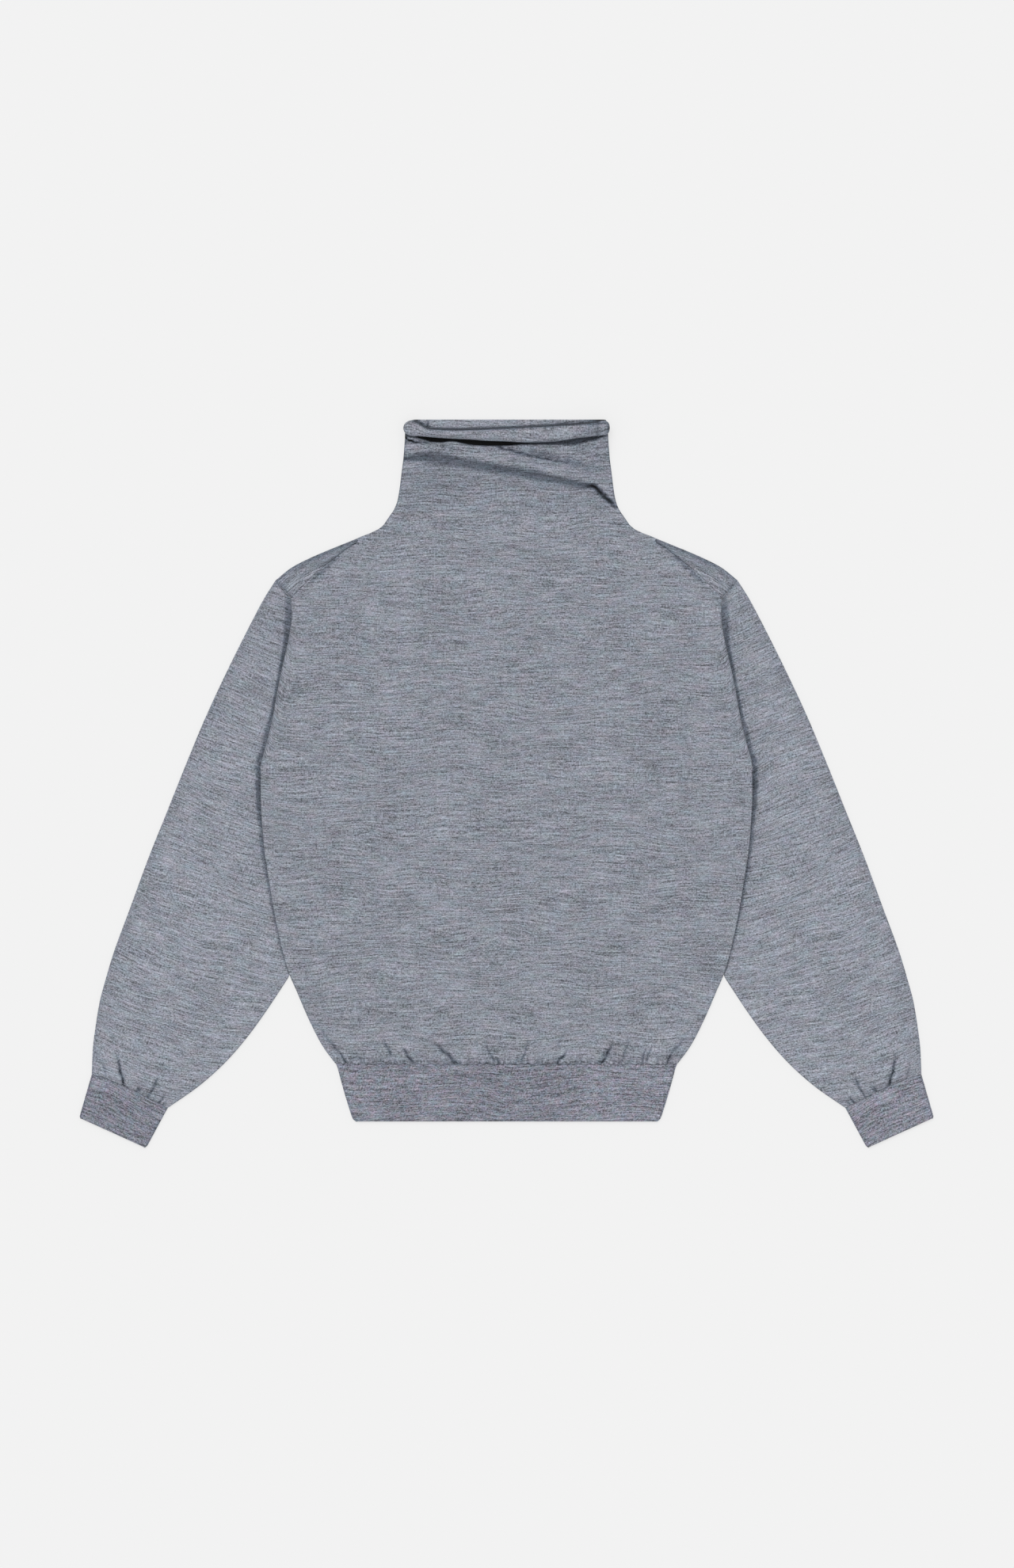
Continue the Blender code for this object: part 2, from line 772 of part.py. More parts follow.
def sleeve_ends(section):
    """Outer and inner end of a section of the sleeve."""
    outer = Edge(section.outer_height, read_table(SLEEVE_OUTER, "half", section.outer_height))
    height = section.inner_height
    if height >= UNDERARM:
        inner = armhole_end(height)
    elif height > PARTING:
        half = read_table(SIDE_EDGE, "half", height) - read_table(TUCK, "depth", height)
        inner = Edge(height, half)
    else:
        inner = Edge(height, read_table(SLEEVE_INNER, "half", height))
    if section is SLEEVE_SECTIONS[0]:
        top = SHOULDER[0]
        length = math.hypot(top.fold_half - top.seam_half, top.fold_height - top.seam_height)
        clear_half = SEAM_GAP * (top.fold_height - top.seam_height) / length
        clear_height = SEAM_GAP * (top.fold_half - top.seam_half) / length
        outer = Edge(top.fold_height - clear_height, top.fold_half + clear_half)
    return outer, inner


def cuff_seam_bow(distance):
    """How sections arch towards the cuff's seam, by their distance from it."""
    amount = CUFF_BOW * (1.0 - smooth(distance / CUFF_BOW_RUN))

    def bow(share):
        share = min(max(share, 0.0), 1.0)
        return amount * math.sin(math.pi * share ** CUFF_BOW_LEAN)

    return bow


def sleeve_top(from_head, from_cuff):
    """Height of the sleeve's upper layer over its lower one, by the distances to its two ends."""
    rise = smooth(from_cuff / CUFF_PUFF_RISE)
    fall = 1.0 - smooth((from_cuff - CUFF_PUFF_RISE) / CUFF_PUFF_FALL)
    fullness = SLEEVE_CROWN * smooth(from_head / SLEEVE_HEAD_RUN) * rise

    def height(share):
        crown = math.sin(math.pi * min(share / SLEEVE_CROWN_SHARE, 1.0)) ** 2
        groove = 0.0
        for gather in CUFF_GATHERS:
            run_out = smooth(1.0 + GROOVE_RUN_OUT - from_cuff / gather.reach)
            away = (share - gather_share(gather, from_cuff)) / CUFF_GROOVE
            groove = max(groove, gather.depth * run_out * math.exp(-away ** 2))
        edges = smooth(share / PUFF_EDGE_SHARE) * smooth((1.0 - share) / PUFF_EDGE_SHARE)
        return fullness * crown + CUFF_PUFF * rise * fall * edges * (1.0 - groove)

    return height


def gather_share(gather, from_cuff):
    """Where a sleeve gather's groove runs, as a share of the width."""
    return mix(gather.foot, gather.top, min(from_cuff / gather.reach, 1.0))


def sleeve_shares(from_cuff):
    """Places across the sleeve's top: on the gathers and half way between them, then even."""
    marks = [0.0] + [gather_share(gather, from_cuff) for gather in CUFF_GATHERS] + [1.0]
    places = []
    for left, right in zip(marks, marks[1:]):
        places += [left, (left + right) / 2]
    places.append(1.0)
    steps = len(places) - 1
    even = smooth((from_cuff - CUFF_COLUMN_START) / CUFF_COLUMN_RUN)
    return [mix(place, k / steps, even) for k, place in enumerate(places)]


def sleeve(name, mirrored):
    wall = Wall()
    rings = []
    last = SLEEVE_SECTIONS[-1]
    for number, section in enumerate(SLEEVE_SECTIONS):
        outer, inner = sleeve_ends(section)
        distance = section.inner_height - last.inner_height
        if section is last:
            outer = Edge(outer.height + SEAM_GAP / 2, outer.half)
            inner = Edge(inner.height + SEAM_GAP / 2, inner.half)
        top_height = sleeve_top(SEAM_FOOT - section.inner_height, distance)
        closed = number >= ARMHOLE_SECTIONS
        rings.append(tube_ring(wall, outer, inner, sleeve_shares(distance), SLEEVE_UNDER_STEPS,
                               top_height, cuff_seam_bow(distance), closed))
    for upper, lower in zip(rings, rings[1:]):
        join_rings(wall, upper, lower)
    return wall.build(name, GREY, mirrored)


def cuff(name, mirrored):
    wall = Wall()
    rings = []
    for step in range(CUFF_ROWS + 1):
        share = step / CUFF_ROWS
        clear = SEAM_GAP / 2 * (1.0 - share)
        outer = Edge(mix(CUFF_TOP_OUTER.height, CUFF_END_OUTER.height, share) - clear,
                     mix(CUFF_TOP_OUTER.half, CUFF_END_OUTER.half, share))
        inner = Edge(mix(CUFF_TOP_INNER.height, CUFF_END_INNER.height, share) - clear,
                     mix(CUFF_TOP_INNER.half, CUFF_END_INNER.half, share))
        bow = cuff_seam_bow(share * CUFF_BOW_RUN)
        rings.append(tube_ring(wall, outer, inner, sleeve_shares(0.0), SLEEVE_UNDER_STEPS,
                               level_top, bow, True))
    for upper, lower in zip(rings, rings[1:]):
        join_rings(wall, upper, lower)
    return wall.build(name, BAND_GREY, mirrored)


def hem_band():
    wall = Wall()
    shares = [k / HEM_COLUMNS for k in range(HEM_COLUMNS + 1)]
    rings = []
    for height in HEM_ROWS:
        half = read_table(HEM_EDGE, "half", height)
        shown = height - SEAM_GAP / 2 if height == HEM_SEAM else height
        outer, inner = Edge(shown, half), Edge(shown, -half)
        rings.append(tube_ring(wall, outer, inner, shares, HEM_COLUMNS, level_top, no_bow, True))
    for lower, upper in zip(rings, rings[1:]):
        join_rings(wall, upper, lower)
    return wall.build("hem_band", BAND_GREY)


def main():
    for old in list(bpy.data.objects):
        bpy.data.objects.remove(old, do_unlink=True)
    front_panel()
    back_panel()
    sleeve("sleeve_left", True)
    sleeve("sleeve_right", False)
    cuff("cuff_left", True)
    cuff("cuff_right", False)
    hem_band()


main()
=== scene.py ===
"""Looks of a relaxed fine-knit jumper that lies flat: melange jersey, a rolled funnel neck and ribbed bands.

The tables hold millimetres. A height runs up the garment from the lower edge of the hem band, x runs to
the viewer's right from the centre line, a half is a distance from that line, and z runs up from the
surface that the jumper lies on. Every form gives the middle of the cloth's thickness.
"""

import math
from collections import namedtuple

import bmesh
import bpy
import numpy as np
from mathutils import Matrix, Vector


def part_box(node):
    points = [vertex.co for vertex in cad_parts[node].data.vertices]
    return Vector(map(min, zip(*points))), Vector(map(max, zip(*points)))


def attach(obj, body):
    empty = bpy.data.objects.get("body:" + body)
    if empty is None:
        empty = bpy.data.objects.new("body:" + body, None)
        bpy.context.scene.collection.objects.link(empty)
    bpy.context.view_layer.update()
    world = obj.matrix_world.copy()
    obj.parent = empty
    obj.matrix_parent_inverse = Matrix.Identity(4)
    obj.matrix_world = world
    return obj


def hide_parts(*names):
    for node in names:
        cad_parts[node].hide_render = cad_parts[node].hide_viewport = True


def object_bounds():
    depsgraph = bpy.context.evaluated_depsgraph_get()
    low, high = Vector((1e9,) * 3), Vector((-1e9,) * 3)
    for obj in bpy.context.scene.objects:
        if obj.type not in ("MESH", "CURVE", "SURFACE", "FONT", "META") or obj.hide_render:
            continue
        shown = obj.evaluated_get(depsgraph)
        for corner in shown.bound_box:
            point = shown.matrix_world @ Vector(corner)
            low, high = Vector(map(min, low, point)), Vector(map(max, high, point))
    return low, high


bl_info = {
    "name": "Flat Laid Jumper",
    "version": (1, 0, 0),
    "blender": (4, 5, 0),
    "location": "View3D > Sidebar > Jumper",
    "description": "Dresses the frame of a flat laid jumper in melange jersey and fine rib",
    "category": "Object",
}

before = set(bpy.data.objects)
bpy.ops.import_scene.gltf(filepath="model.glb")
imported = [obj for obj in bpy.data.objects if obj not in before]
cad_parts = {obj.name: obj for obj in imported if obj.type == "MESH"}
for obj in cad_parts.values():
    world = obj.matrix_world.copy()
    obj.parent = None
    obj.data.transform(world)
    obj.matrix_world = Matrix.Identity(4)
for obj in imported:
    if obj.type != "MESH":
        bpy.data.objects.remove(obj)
FRAME_LOW, FRAME_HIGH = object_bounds()

MM = 0.001
MERGE_DISTANCE = 0.00002
MIDDLE_HEIGHT = -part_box("hem_band")[0].y / MM


def table(kind, rows):
    """Rows of one kind, each made from its numbers."""
    return tuple(kind(*map(float, row)) for row in rows)


def clamp(share):
    return np.clip(share, 0.0, 1.0)


def ease(share):
    """From 0 to 1 as the share goes from 0 to 1, softly at both ends."""
    share = clamp(share)
    return share * share * (3.0 - 2.0 * share)


def hump(distance, width):
    return np.exp(-((distance / width) ** 2))


class Line(namedtuple("Line", "amount width at", defaults=(0.0,))):
    """A soft ridge, dip or dark line beside an edge: how much, how wide, and how far from the edge."""

    def __call__(self, distance):
        return self.amount * hump(distance - self.at, self.width)


class Ramp(namedtuple("Ramp", "start run")):
    """A soft change from 0 to 1: where it starts, and how far on it is done."""

    def __call__(self, place):
        return ease((place - self.start) / self.run)


# Layers of the cloth, as the frame's solids have them
WALL = 1.2
BACK_Z = 0.6
FRONT_Z = 2.4
FOLD_Z = 1.5
FOLD_RADIUS = 0.9
SEAM_GAP = 0.3

# Heights up the garment
HEM_SEAM = 66.0
PARTING = 165.6
UNDERARM = 407.5
SEAM_FOOT = 594.0
NECK_FOOT = 662.4
NECK_LOW = 685.8
RIM_TOP = 797.4

# The cut
Edge = namedtuple("Edge", "height half")
SIDE_EDGE = table(Edge, (
    (66, 194.5), (82, 206.5), (95.5, 214.5), (122.5, 227.5), (149.5, 239), (165.6, 246), (212.5, 258.5),
    (266.5, 268.5), (320.5, 276), (374.5, 279), (407.5, 278.5),
))
ARMHOLE = table(Edge, (
    (407.5, 278.5), (410, 277.9), (433, 271.5), (458, 265.5), (480.5, 261.5), (506.5, 256.5),
    (533, 250.5), (554.5, 246), (576, 243.4), (594, 244.4),
))
Shoulder = namedtuple("Shoulder", "fold_height fold_half seam_height seam_half")
SHOULDER = table(Shoulder, (
    (614.7, 262.4, 594, 244.4), (629.1, 244.4, 609.3, 230), (639, 225.5, 624.2, 214.7),
    (647.7, 205.7, 636.3, 199.4), (655.8, 185.9, 648.9, 183.2), (662.4, 169.7, 659.3, 168.8),
))
SEAM_LINE = tuple(Edge(row.seam_height, row.seam_half) for row in SHOULDER)
SEAM_LINE += (Edge(662.4, 169.3),)
NECK_EDGE = table(Edge, (
    (662.4, 169.3), (669.6, 151.7), (675, 142.2), (685.8, 134.1), (696.6, 127), (707.5, 123.3),
    (739.8, 118.8), (761.4, 116.2), (775, 115.2), (797.4, 114.8),
))
HEM_EDGE = table(Edge, (
    (0, 171), (1.2, 173.2), (3.5, 174.9), (14.4, 178.7), (41.4, 186.8), (54.9, 190.4), (61, 192),
    (66, 194),
))
SLEEVE_OUTER = table(Edge, (
    (53.1, 471.2), (81.9, 470), (108.9, 466.7), (135.9, 462.2), (162.9, 455), (189.9, 446.9),
    (243.9, 427.1), (297.9, 407.3), (351.9, 385.7), (405.9, 364.1), (459.9, 341.6), (513.9, 316.4),
    (567.9, 289.4), (594.9, 275), (614.7, 262.4),
))
SLEEVE_INNER = table(Edge, (
    (15.3, 384.8), (41.4, 347.9), (68.4, 318.2), (95.4, 294.8), (122.4, 275), (149.4, 257),
    (165.6, 246.4),
))
Tuck = namedtuple("Tuck", "height depth")
TUCK = table(Tuck, (
    (174.6, -0.35), (193, 6), (239.5, 11), (293.5, 11), (347.5, 8), (374.5, 5), (398.5, -0.35),
))
# Where a section of the sleeve starts at its outer edge, by where it ends at the armhole or inner edge
Section = namedtuple("Section", "inner_height outer_height")
SECTIONS = table(Section, (
    (15.3, 53.1), (42, 77.5), (68.4, 100), (122.4, 154), (165.6, 197.5), (239.5, 270), (320.5, 350.5),
    (407.5, 436), (458, 485), (506.5, 529.5), (554.5, 573), (594, 614.7),
))
Band = namedtuple("Band", "outer inner breadth height rows cloth arch tone")
CUFF_TOP_OUTER = Edge(53.1, 471.2)
CUFF_TOP_INNER = Edge(15.3, 384.8)
CUFF_END_OUTER = Edge(3.6, 485.6)
CUFF_END_INNER = Edge(-29.7, 409.1)
CUFF_BOW = 3.2
CUFF_BOW_RUN = 45.0
CUFF_BOW_LEAN = 0.7
CUFF_CORNER = 3.2
CUFF_BREADTH = 94.3
CUFF_HEIGHT = 52.0
# Cloth that runs round the roll and under the back's rim
ROLL_CLOTH = 34.0

# The body's side lies over the sleeve between underarm and parting
LIFT = 3.8
LIFT_RUN = 9.0
LIFT_SLOPE = Ramp(14.0, 20.0)

# Rows of the grids: how many lead up to each height
Zone = namedtuple("Zone", "height rows")
FRONT_ZONES = table(Zone, (
    (66, 0), (70, 7), (112, 28), (168, 22), (594, 96), (662.4, 22), (752, 44), (780.75, 32),
))
FRONT_COLUMNS = 126
HEM_CUTS = 2
ROLL_ROWS = 26
BACK_ZONES = table(Zone, ((66, 0), (407.5, 44), (594, 26), (613.57, 3)))
BACK_NECK_ZONES = table(Zone, ((662.4, 0), (772, 22), (784, 6), (794.8, 22)))
SHOULDER_ROWS = 30
BACK_COLUMNS = 90
STRIP_ZONES = table(Zone, ((0, 0), (1, 8), (2, 10)))
TURN_ROWS = 8
FLAP_ROWS = 3
SLEEVE_ZONES = table(Zone, ((15.3, 0), (60, 34), (110, 22), (407.5, 74), (594, 56)))
Stretch = namedtuple("Stretch", "end columns")
SLEEVE_RING = table(Stretch, ((1, 76), (2, 6), (3, 20), (4, 6)))
CUFF_ROWS = 22
HEM_ROWS = 24
RIB_COLUMNS = 4
BAND_UNDER = 30
TURN_COLUMNS = 6
# Round a flattened tube, the upper layer runs to 1, the inner turn to 2 and the lower layer to 3
UNDER_PLACE = 1.5

# The rolled rim of the neck: its middle and half its breadth along x
Roll = namedtuple("Roll", "x centre reach")
ROLL = table(Roll, (
    (-117, 787.6, 9.6), (-108, 787.2, 9.6), (-102, 786.6, 8.6), (-94, 783.9, 6.2), (-87, 782.4, 5.3),
    (-73, 781.4, 5.5), (-57, 780.8, 5.8), (-41, 780.5, 6.2), (-24, 780.1, 7.2), (-7.4, 780.2, 7.8),
    (18.5, 780.2, 9.1), (33, 780.6, 9.5), (50.6, 781.3, 9.7), (66.4, 782.9, 9.3), (80, 784.3, 8.5),
    (91, 785.4, 8.4), (107, 787.1, 8.1), (117, 788, 8),
))
NECK_RISE = 4.0
NECK_RISES = Ramp(742.0, 30.0)
ROLL_HEIGHT = 780.75
ROLL_RISE = 3.9
ROLL_TURN = math.radians(300)
ROLL_END_LEFT = 11.0
ROLL_END_RIGHT = 4.5
ROLL_TIP = 0.1
ROLL_JOIN = 0.12
ROLL_PROUD = 1.5
ROLL_PROUD_ENDS = Ramp(98.0, 16.0)
ROLL_PROUD_TURN = 0.15
CORNER_LEFT = 11.0
CORNER_RIGHT = 4.0
TURN_RADIUS = 2.0
TURN_FLAP = 12.0
FLAP_END = 0.2
FLAP_END_RUN = 16.0
BACK_RISES = Ramp(774.0, 14.0)
BACK_MIDDLE = Ramp(4.0, 26.0)

# The strips over the shoulders
STRIP_SINK = Line(0.25, 2.5)
STRIP_SWELL = 0.5
STRIP_SWELLS = Ramp(2.0, 6.0)
STRIP_BEHIND = 9.0

# The gap under the roll, painted black as shade: its lower border, and how black it is painted
Gap = namedtuple("Gap", "x height black")
GAP = table(Gap, (
    (-116, 777.4, 0.75), (-108, 777.2, 0.8), (-103.6, 776.6, 0.9), (-99, 775.2, 1), (-91.4, 773, 1),
    (-84, 770.9, 1), (-75, 770.6, 1), (-62.6, 772.2, 1), (-49, 769.4, 1), (-35.5, 767.4, 1),
    (-17.5, 766.7, 1), (0.5, 767, 1), (18.5, 768.6, 0.96), (36.5, 768.9, 0.76), (54.5, 768.6, 0.74),
    (72.5, 767.8, 0.76), (86, 769.9, 0.78), (95, 772.8, 0.8), (101, 773.6, 0.8), (107, 776.2, 0.66),
    (112, 777.8, 0.5), (116, 778.4, 0.4),
))
GAP_DEPTH = 2.4
GAP_SINK = Ramp(-1.6, 3.2)
GAP_EDGE = 12.0
GAP_FOOT = 700.0
GAP_FIRM = 1.4
GAP_SOFT = 4.0
GAP_SOFTENS = Ramp(30.0, 40.0)

# Shades of the roll, from the turn of it that shows, and of the rim behind it
ROLL_SHOWS = 1.2
ROLL_EDGE_LEFT = Line(0.6, 1.2)
ROLL_EDGE_RIGHT = Line(0.85, 2.8)
ROLL_LINE = Line(0.92, 1.5, 0.7)
ROLL_LINE_ENDS = Ramp(6.0, 6.0)
END_FOLD = Line(0.46, 2.2, 102.6)
END_TOP = Line(0.5, 2.2, 2.0)
END_TOP_START = 92.0
# Painted shade that darkens the roll's right end up to its fold
END_SHADE = 0.2
END_SHADE_RISE = Ramp(82.0, 18.0)
END_SEAM = Line(0.3, 3.0, 107.0)
END_SEAM_PITCH = 2.2
UNDER_DARK = 0.35
UNDER_TURN = Ramp(math.radians(238), math.radians(25))
BACK_LINE = Line(0.92, 1.5, -0.35)
RIM_LINE = Line(1.0, 1.4, 2.0)
RIM_DARK_LEFT = 0.3
RIM_DARK_RIGHT = 0.46
RIM_DARKENS = Ramp(80.0, 12.0)
RIM_HIDDEN = 6.0
# A painted light on the strip of the rim that shows over the roll
STRIP_PAINTED_LIGHT = -0.25
STRIP_START = Ramp(1.5, 1.5)

# Shades of the front's edges and seams
NECK_TONE = 0.08
NECK_TONE_RISE = Ramp(676.0, 30.0)
NECK_EDGE_DARK = Line(0.5, 1.0)
SIDE_DARK = Line(0.3, 0.9)
SEAM_DARK = Line(0.22, 1.4)
# Where the shoulder strip's seam is pulled flat, the front's edge gets a painted highlight in place of the
# painted seam shade
SEAM_LIGHT = Line(0.14, 1.6)
PULLED_FOOT = Ramp(SEAM_FOOT, 4.0)
PULLED_TOP = Ramp(622.0, 14.0)
# The painted shade over the hem band: a line at the seam, in its hollows, and beside the two middle gathers
HEM_DARK = Line(0.42, 1.0)
HEM_FAINT = Line(0.1, 1.0)
HEM_SHADOW = Line(0.2, 3.0, 2.0)
HEM_DARK_LEAST = 0.35
HEM_DARK_PITCH = 67.0
HEM_TIGHT = Line(1.0, 9.0, 25.0)
HEM_TIGHT_DARK = Line(0.6, 1.6, 0.2)

# Shades of the strips, the sleeves and the bands
STRIP_UPPER = Ramp(624.0, 14.0)
STRIP_DARKER = 0.12
STRIP_DARKENS = Ramp(620.0, 16.0)
STRIP_SEAM_DARK = Line(0.5, 2.0)
STRIP_SEAM_LIGHT = Line(0.16, 2.2, 1.6)
STRIP_FOLD_DARK = Line(0.3, 4.0, 1.0)
HEAD_LINE = Line(0.42, 3.0)
HEAD_START = Ramp(-8.0, 20.0)
SLEEVE_HEAD_LINE = Line(0.42, 2.6)
SLEEVE_EDGE_DARK = Line(0.3, 1.2)
# Painted shade that darkens the sleeve towards its outer folded edge
SLEEVE_EDGE_SHADE = Line(0.1, 12.0)
SLEEVE_TONE = -0.08
SLEEVE_TONE_LOSS = 0.55
SLEEVE_TONE_FADES = Ramp(400.0, 80.0)
CUFF_DARK = Line(0.6, 1.1)
CUFF_FAINT = Line(0.06, 1.1)
BAND_EDGE_DARK = Line(0.12, 3.0)
BAND_SEAM_DARK = Line(0.2, 1.2)
UNDER_SHADE = 0.1

# How the hem band's shade changes along x, and each cuff's
Tone = namedtuple("Tone", "x shade")
BAND_TONE = table(Tone, (
    (-195, -0.03), (-70, -0.005), (0, 0.045), (60, 0.02), (130, -0.1), (195, -0.1),
))
CUFF_TONES = {"left": 0.04, "right": -0.05}

# The long fold across the neck: its trough along x, with a soft crest to each side
Trough = namedtuple("Trough", "x height spread crest width dark")
NECK_TROUGH = table(Trough, (
    (-118, 753.6, 9, 3.4, 2.6, 0.68), (-114, 753.8, 9, 3.4, 2.7, 0.68), (-108, 754, 9, 3.6, 3.8, 0.62),
    (-98.6, 755.2, 9, 3.9, 6, 0.56), (-91, 755, 8.9, 4, 6.8, 0.58), (-85, 754.2, 8.8, 4.1, 7.2, 0.56),
    (-71.6, 752.3, 8.5, 4.2, 7.8, 0.52), (-57, 749.4, 8.3, 4.2, 7.2, 0.5), (-41.4, 746.1, 8, 4.2, 7, 0.5),
    (-21.2, 743.7, 7.6, 4.2, 6.5, 0.52), (-1.7, 740.5, 7.2, 4.2, 6, 0.54), (18.5, 737, 6.6, 4.2, 6, 0.54),
    (33.5, 734.2, 6.3, 4.1, 6.6, 0.54), (50.6, 730.4, 6, 4, 5.6, 0.52), (66.2, 727, 5.4, 3.9, 5.4, 0.5),
    (79.7, 724.1, 4.8, 3.8, 4.6, 0.56), (91.4, 722.4, 4.2, 3.7, 3.6, 0.78), (98, 722, 3.6, 3.6, 3.2, 1),
    (101, 720.6, 3.3, 3.6, 3.3, 1), (104.9, 716.9, 3.2, 3.5, 3.4, 0.94), (110.7, 711, 3.2, 3.3, 3.5, 0.9),
    (118.4, 704.3, 3.4, 3, 2.8, 0.9), (124, 699, 3.5, 2.8, 2, 0.65),
))
# The trough's dark is painted shade, and the neck light a painted highlight on the upper crest
LOWER_CREST = 0.7
NECK_LIGHT = -0.12
NECK_LIGHT_LEAST = 0.6
NECK_LIGHT_PITCH = 23.0
TROUGH_SHARPNESS = 2.0
TROUGH_FADE = 1.08
TROUGH_DROP = 0.6
TROUGH_MOTTLE = 0.24
TROUGH_MOTTLE_PITCHES = (17.0, 7.0)
# The fold calms down towards the neck's sides, the roll and the neck's foot
CALM_EDGE = 14.0
CALM_TOP = Ramp(ROLL_HEIGHT - 6.0, -8.0)
NECK_START = Ramp(NECK_LOW, 6.0)

# Gathers above the hem band that leave puffs between them
Gather = namedtuple("Gather", "foot top top_height depth")
HEM_GATHERS = table(Gather, (
    (-182, -206, 95, 0.8), (-129, -142.5, 95, 0.6), (-106, -116.5, 82, 0.6), (-56, -83, 90, 1),
    (-10.5, -23, 90, 0.7), (13, 24, 90, 0.7), (55.5, 63.5, 102, 1), (109.5, 119, 87, 1),
    (134.5, 142.5, 110, 0.7), (156, 161.5, 82, 0.6), (184, 195, 79, 0.7),
))
HEM_PUFF = 3.0
HEM_PUFF_RISE = 8.0
HEM_PUFF_FALL = 40.0
GROOVE_WIDTH = 3.5
GROOVE_RUN_OUT = 0.3
PUFF_EDGE = 8.0
# The scallops that hang over the hem band between the finest gathers
SCALLOP = 9.5
SCALLOP_HANG = Line(2.4, 1.5, 1.6)
SCALLOP_RISE = Line(1.9, 2.0, 2.0)
SCALLOP_TAIL = Line(0.6, 5.0, 5.0)

# Creases drawn one by one: a soft trough along a bowed line, which fades towards its end
# A crease's dark is painted shade in its trough, and below zero a painted highlight beside it
Crease = namedtuple("Crease", "x height end_x end_height bow width depth dark")
FRONT_CREASES = table(Crease, (
    (-192, 642, -234, 601.5, 0, 2.9, 0.4, 0.5), (192, 642, 234, 601.5, 0, 2.9, 0.4, 0.5),
    (-181.8, 66.4, -192, 83.5, 0, 1.7, 1.4, 0.78), (-190, 79.5, -207.5, 100, 0.8, 2, 1, 0.56),
    (-205, 97, -216, 114, 0.6, 1.8, 0.6, 0.34), (-131, 76, -141.5, 98, 0.5, 2, 1.2, 0.66),
    (-104.5, 64.6, -121, 89, 0.7, 2.2, 1.6, 0.9), (-101, 62.5, -92, 56, 0, 1.8, 0, 0.3),
    (-55.5, 65.3, -89.4, 93.5, -0.8, 2.4, 2, 0.82), (-57, 65.6, -70.5, 79, 0, 1.9, 0.8, 0.8),
    (-56.6, 82, -50.6, 73, 0, 0.9, -0.3, -0.22), (-13.8, 69, -24.4, 96.4, 2.4, 1.3, 0.9, 0.72),
    (-11.6, 71, -22, 95, 2.6, 0.9, -0.2, -0.14), (-8.2, 65.9, -13.2, 75, 0, 1.3, 0.8, 0.75),
    (-32.6, 84, -33.4, 101, 0, 1, 0.5, 0.26), (-30.8, 84, -31.4, 101, 0, 1, -0.2, -0.18),
    (16.6, 68, 25, 99, -1.6, 1.3, 0.9, 0.7), (15.8, 72, 22.8, 95, -2, 0.9, -0.2, -0.14),
    (9.4, 65.9, 13.2, 75.4, 0, 1.3, 0.8, 0.7), (50.6, 75.2, 57.4, 86.8, 0, 0.9, -0.3, -0.24),
    (58, 86, 67, 105, 0, 1.4, 0.5, 0.26), (56.4, 65.3, 72, 82.5, 0.4, 2.1, 1.8, 0.98),
    (60.6, 66.5, 75, 79, 0.4, 1.3, -0.3, -0.24), (107.3, 65.3, 122.5, 93, -0.6, 2.1, 1.8, 0.96),
    (103, 65.9, 113.5, 82, 0, 1.3, 0.9, 0.5), (131, 69, 140.6, 97.6, 0, 1.6, 1, 0.52),
    (153.4, 67.4, 158.4, 85, 0, 1.5, 1, 0.72), (159, 69, 165.2, 88, 0, 1.4, 0.8, 0.7),
    (182, 66.4, 189, 81.5, 0, 1.7, 1.3, 0.9), (188, 79, 205, 99, -0.8, 1.9, 0.9, 0.46),
    (203, 97, 214, 113, -0.6, 1.5, 0.6, 0.2), (-165.5, 66.5, -169, 78, 0, 1.3, 0.6, 0.34),
    (-161, 67.5, -162.5, 79, 0, 1.1, 0.5, 0.28), (-151, 66.5, -154, 79, 0, 1.3, 0.6, 0.3),
    (-88, 66.5, -93, 76, 0, 1.4, 0.6, 0.3), (-42.5, 66.5, -44, 75, 0, 1.2, 0.6, 0.4),
    (-36, 68, -41, 75.5, 0, 1.1, 0.5, 0.36), (34.5, 66.5, 37.5, 76, 0, 1.3, 0.6, 0.4),
    (38, 68, 43, 75, 0, 1.1, 0.5, 0.32), (84, 66.5, 87, 77, 0, 1.4, 0.5, 0.28),
    (147, 66.5, 149, 76, 0, 1.2, 0.5, 0.26), (171, 66.5, 173.5, 76, 0, 1.3, 0.5, 0.3),
    (-10, 766, 106, 741.5, -1.6, 1.9, 0.6, 0.85), (28, 760, 118, 737, 0, 4.6, 0.6, 0.42),
    (36, 764.5, 96, 756, 0, 3, -0.3, -0.14), (-8.6, 764.7, 18, 760.2, 0, 1.9, 0.5, 0.36),
    (-113.9, 763.2, -103, 762.6, 0, 1, 0.3, 0.5), (-139, 675.6, -108, 666.4, 0, 1.7, 0.5, 0.36),
    (-138, 674.6, -142.5, 676, 0, 2, 0, 0.55), (148, 670.5, 112, 662.5, 0, 3, 0.4, 0.16),
    (-116.5, 779.6, -97, 770.6, -2.6, 1.5, 0.3, 2.1), (-107, 771.6, -80, 770.8, -0.2, 1.4, 0.2, 1.1),
    (-112, 776.2, -92, 773.4, -0.5, 1.5, 0, -1), (-75, 771, -52, 768, 0, 2.6, 0, -0.16),
))
# Dark lines across the roll's left end, which the back's rim behind it has too
ROLL_CREASES = table(Crease, (
    (-104.6, 795.6, -84, 787.2, 0.5, 1.6, 0, 0.95), (-88.6, 795.5, -89.6, 784.5, 0, 1.7, 0, 1),
))
FRONT_CREASES += ROLL_CREASES
# How a crease narrows and fades towards its end, how its line wanders, and how its shade is broken
CREASE_TAPER = 0.75
CREASE_FADE = 0.55
CREASE_WANDER = 0.3
WANDER_PITCH = 2.3
CREASE_KNOTS = 0.36
KNOT_PITCH = 1.7
